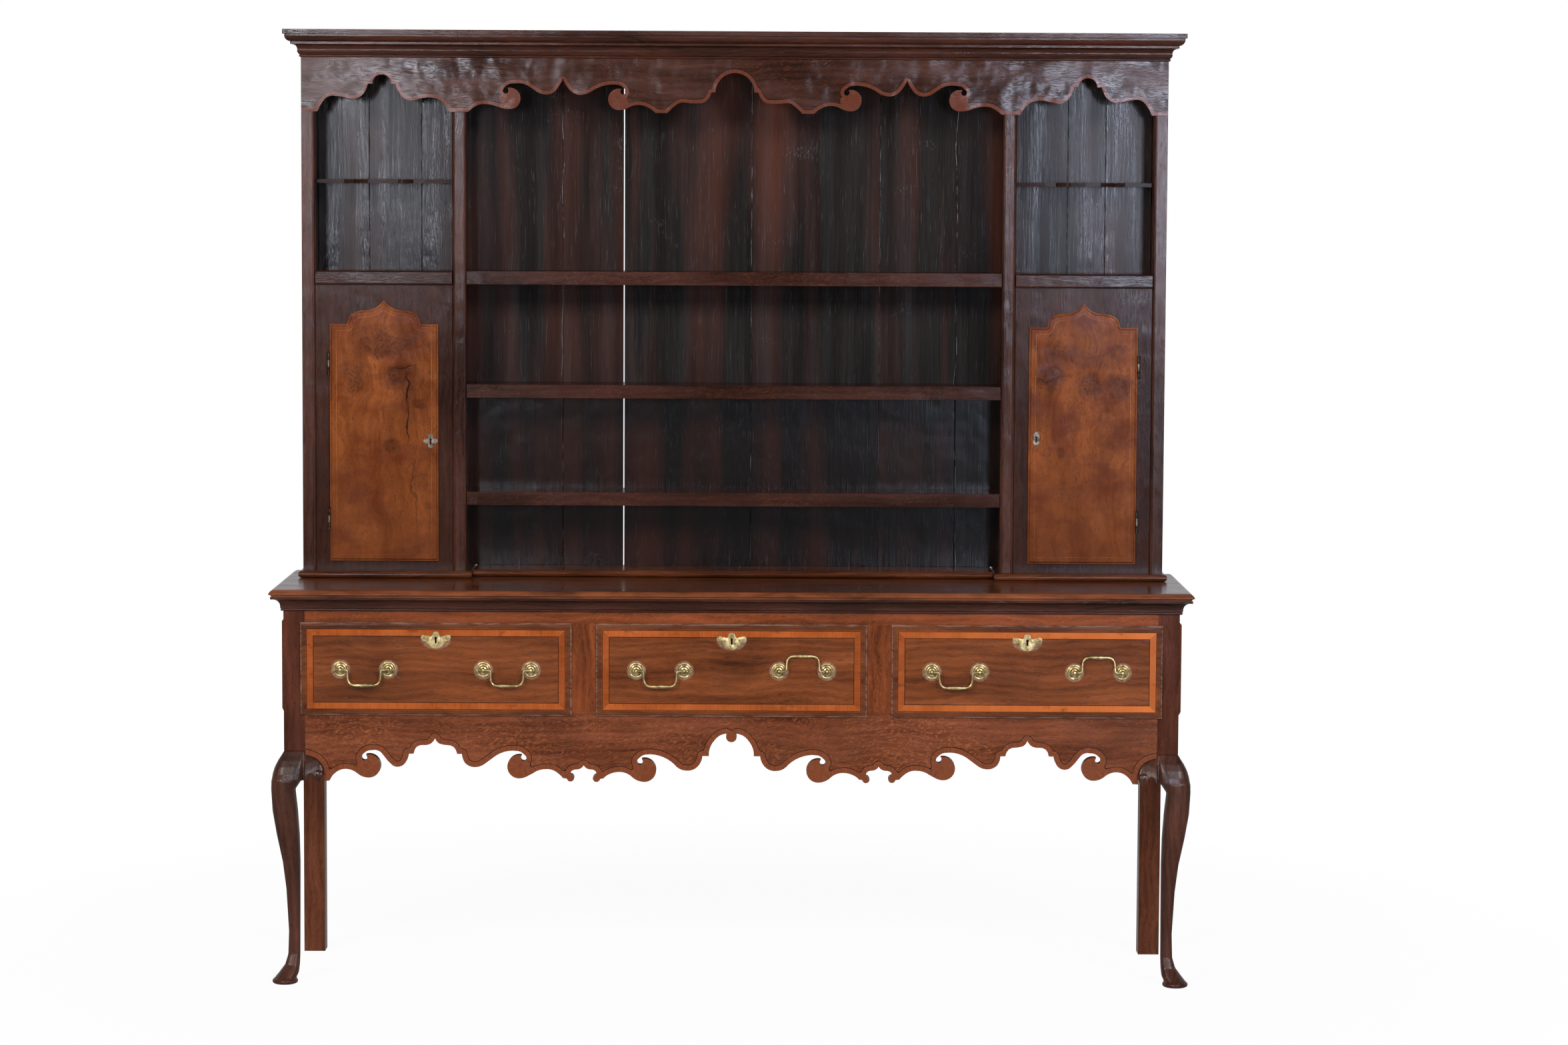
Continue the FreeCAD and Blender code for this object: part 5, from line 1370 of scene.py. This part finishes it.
@dataclass
class Carcass:
    """Every node that keeps its own shape, with the timber or metal that it takes."""

    drawer_seams: tuple[float, ...] = (-DRAWER_PITCH / 2, DRAWER_PITCH / 2)
    back_seams: tuple[float, ...] = (-805.0, -690.0, -244.0, 37.0, 320.0, 733.0, 816.0)

    def finishes(self) -> dict[Timber | Metal, list[str]]:
        """Pair each finish with the nodes that take it.

        Returns:
            Lists of node names by finish.
        """
        return {
            Timber("waxed_oak_frame", Grain.ALONG, "#46210f", "#86431f", fleck_strength=0.3,
                   upright_between=(578.5, 776.5)):
                ["front_frame"],
            Timber("waxed_oak_ends", Grain.ALONG, "#42200f", "#70381f", fleck_strength=0.25):
                ["base_sides", "side_panels"],
            WornTop("polished_oak_top", Grain.ALONG, "#34190b", "#733f25", ring=14.0, roughness=0.16,
                    specular=0.3):
                ["base_top"],
            Timber("polished_oak_soles", Grain.ALONG, "#2c1509", "#6a3920", ring=8.0):
                ["soles", "bottom_board"],
            Timber("moulded_oak", Grain.ALONG, "#210f09", "#482416", ring=6.0, specular=0.25):
                ["base_top_moulding", "cornice"],
            Timber("dark_oak_uprights", Grain.UPRIGHT, "#1f100b", "#4c2a1d", fleck_strength=0.05,
                   specular=0.2, hollows=1.2):
                ["rack_uprights", "upright_facings"],
            Timber("dark_oak_cupboard_frames", Grain.UPRIGHT, "#1d0d08", "#3a1e12", fleck_strength=0.03,
                   specular=0.12):
                ["cupboard_frames"],
            Timber("dark_oak_shelves", Grain.ALONG, "#1e0f09", "#3f2015", fleck_strength=0.1, specular=0.12):
                ["long_shelves", "cupboard_tops", "inner_shelves", "rack_top"],
            Timber("polished_spice_shelves", Grain.ALONG, "#150b08", "#2f1912", roughness=0.4, specular=0.04):
                ["spice_shelves"],
            Timber("oak_back_legs", Grain.UPRIGHT, "#33180d", "#643723", ring=12.0, fleck_strength=0.1,
                   grime_strength=0.6):
                ["back_legs"],
            Backboards("stained_backboards", Grain.UPRIGHT, "#080605", "#1a100c", ring=16.0, roughness=0.22,
                       specular=0.22, tone_strength=1.5, wander=3.0, boards=self.back_seams):
                ["rack_backs"],
            Timber("stained_base_back", Grain.ALONG, "#20120c", "#4b2d20", roughness=0.6):
                ["base_back"],
            Timber("raw_oak_linings", Grain.DEPTH, "#5d3f28", "#8e6b4c", roughness=0.7, fleck="#a8845f",
                   fleck_strength=0.3):
                ["drawer_supports"] + [f"drawer_{drawer}_box" for drawer in DRAWERS],
            DrawerFace("oak_drawer_fronts", Grain.ALONG, "#43200f", "#80441f", ring=14.0, fleck_strength=0.1,
                       boards=self.drawer_seams):
                [f"drawer_{drawer}_front" for drawer in DRAWERS],
            Strips("crossbanding_strips", Grain.ALONG, "#7c3a14", "#a85522", boards=self.drawer_seams):
                [f"drawer_{drawer}_banding" for drawer in DRAWERS],
            Metal("worn_door_plates", "#8d8377", "#4f463c", roughness=0.38):
                [f"door_{side}_brass" for side in SIDES],
            Metal("rusted_iron_hinges", "#4c423b", "#231b17", roughness=0.5):
                ["frame_hinges"],
            Metal("forged_iron_locks", "#4c4744", "#2a2522", roughness=0.5):
                [f"drawer_{drawer}_{part}" for drawer in DRAWERS for part in ("lock", "bolt")]
                + [f"door_{side}_bolt" for side in SIDES],
        }

    def build(self) -> None:
        """Give each node its finish."""
        for finish, nodes in self.finishes().items():
            material = finish.make()
            for node in nodes:
                Bench.dress(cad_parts[node], material)
            LOG.info("%s on %d nodes", finish.name, len(nodes))


@dataclass
class Fronts:
    """The four boards with a shaped outline: the apron, the frieze and two lipped doors of burr oak."""

    door_middle: float = 761.0
    apron_scrolls: tuple[tuple[float, float, float], ...] = (
        (185.0, 462.3, 25.3), (452.0, 468.7, 25.3), (772.0, 469.0, 25.3))
    frieze_scrolls: tuple[tuple[float, float, float], ...] = ((251.0, 1889.5, 23.5), (487.0, 1890.5, 23.5))
    left_knots: tuple[Knot, ...] = (
        Knot(4, 473, 66, 27, 0.75), Knot(-64, 394, 24, 30, 0.7), Knot(33, 412, 36, 22, 0.85),
        Knot(60, 380, 40, 30, 0.45), Knot(16, 252, 12, 14), Knot(78, 340, 17, 7),
        Knot(80, 172, 18, 24, 0.5), Knot(0, 500, 90, 18, 0.35))
    left_cracks: tuple[Knot, ...] = (
        Knot(48, 372, 2.6, 46, 0.9), Knot(53, 300, 2.2, 44, 0.9), Knot(40, 424, 30, 1.8, 0.7),
        Knot(66, 150, 2.0, 90, 0.5))
    right_knots: tuple[Knot, ...] = (
        Knot(-42, 463, 42, 22, 0.7), Knot(-70, 414, 34, 20, 0.85), Knot(15, 390, 26, 26, 0.75),
        Knot(77, 390, 22, 30, 0.75), Knot(77, 463, 24, 20, 0.4), Knot(-48, 242, 10, 12),
        Knot(0, 445, 100, 16, 0.3))
    right_cracks: tuple[Knot, ...] = (Knot(-66, 406, 30, 1.8, 0.7), Knot(-74, 388, 24, 1.6, 0.6))

    def door(self, name: str, side: int, knots: tuple[Knot, ...], cracks: tuple[Knot, ...]) -> ShapedBoard:
        """Plan one door of burr oak with stringing near its edge.

        Args:
            name: left or right.
            side: Minus one or one.
            knots: Where its pin knots crowd.
            cracks: Where it has split.

        Returns:
            The door, still to build.
        """
        finish = Burr(f"burr_oak_door_{name}", Grain.UPRIGHT, "#55290f", "#8a4a1e", band="#a8642b",
                      band_dark="#8d4d20", band_from=10.2, band_to=11.3, line="#4a210e", line_width=0.8,
                      grime_strength=0.3, specular=0.08, centre=side * self.door_middle, knots=knots,
                      cracks=cracks, ring=14.0, ring_strength=0.15, fibre_strength=0.6, wander=18.0,
                      wander_size=85.0, seed=float(side))
        return ShapedBoard(f"door_{name}", f"door_{name}", "oak_door", finish, cell=4.0, all_round=True)

    def build(self) -> None:
        """Cut and dress the boards."""
        apron = Banded("crossbanded_apron", Grain.ALONG, "#451f0e", "#7b4227", fleck="#a05f37",
                       fleck_strength=0.45, band="#7c4427", band_dark="#602f1a", band_to=11.0)
        frieze = Banded("crossbanded_frieze", Grain.ALONG, "#1f0f0a", "#45271b", fleck_strength=0.1,
                        band="#613424", band_dark="#4a2416", band_to=8.0, roughness=0.15, specular=0.18,
                        hollows=3.5)
        for board in (ShapedBoard("apron", "carcass", "oak_apron", apron, scrolls=self.apron_scrolls),
                      ShapedBoard("frieze", "carcass", "oak_moulding", frieze, scrolls=self.frieze_scrolls),
                      self.door("left", -1, self.left_knots, self.left_cracks),
                      self.door("right", 1, self.right_knots, self.right_cracks)):
            board.build()


def main() -> None:
    """Build every sub-assembly in order."""
    logging.basicConfig(level=logging.INFO, format="%(name)s: %(message)s")
    Studio().build()
    Carcass().build()
    FrontLegs().build(
        Timber("waxed_oak_posts", Grain.UPRIGHT, "#30170e", "#542a1b", fleck_strength=0.07).make(),
        Timber("polished_oak_legs", Grain.UPRIGHT, "#24120b", "#563022", roughness=0.3, specular=0.26, ring=12.0,
               grime_strength=0.7, hollows=1.6).make())
    DrawerBrass().build(Metal("cast_brass", "#d6c08a", "#87734a", roughness=0.33, metallic=0.9).make())
    Fronts().build()


if __name__ == "__main__":
    main()
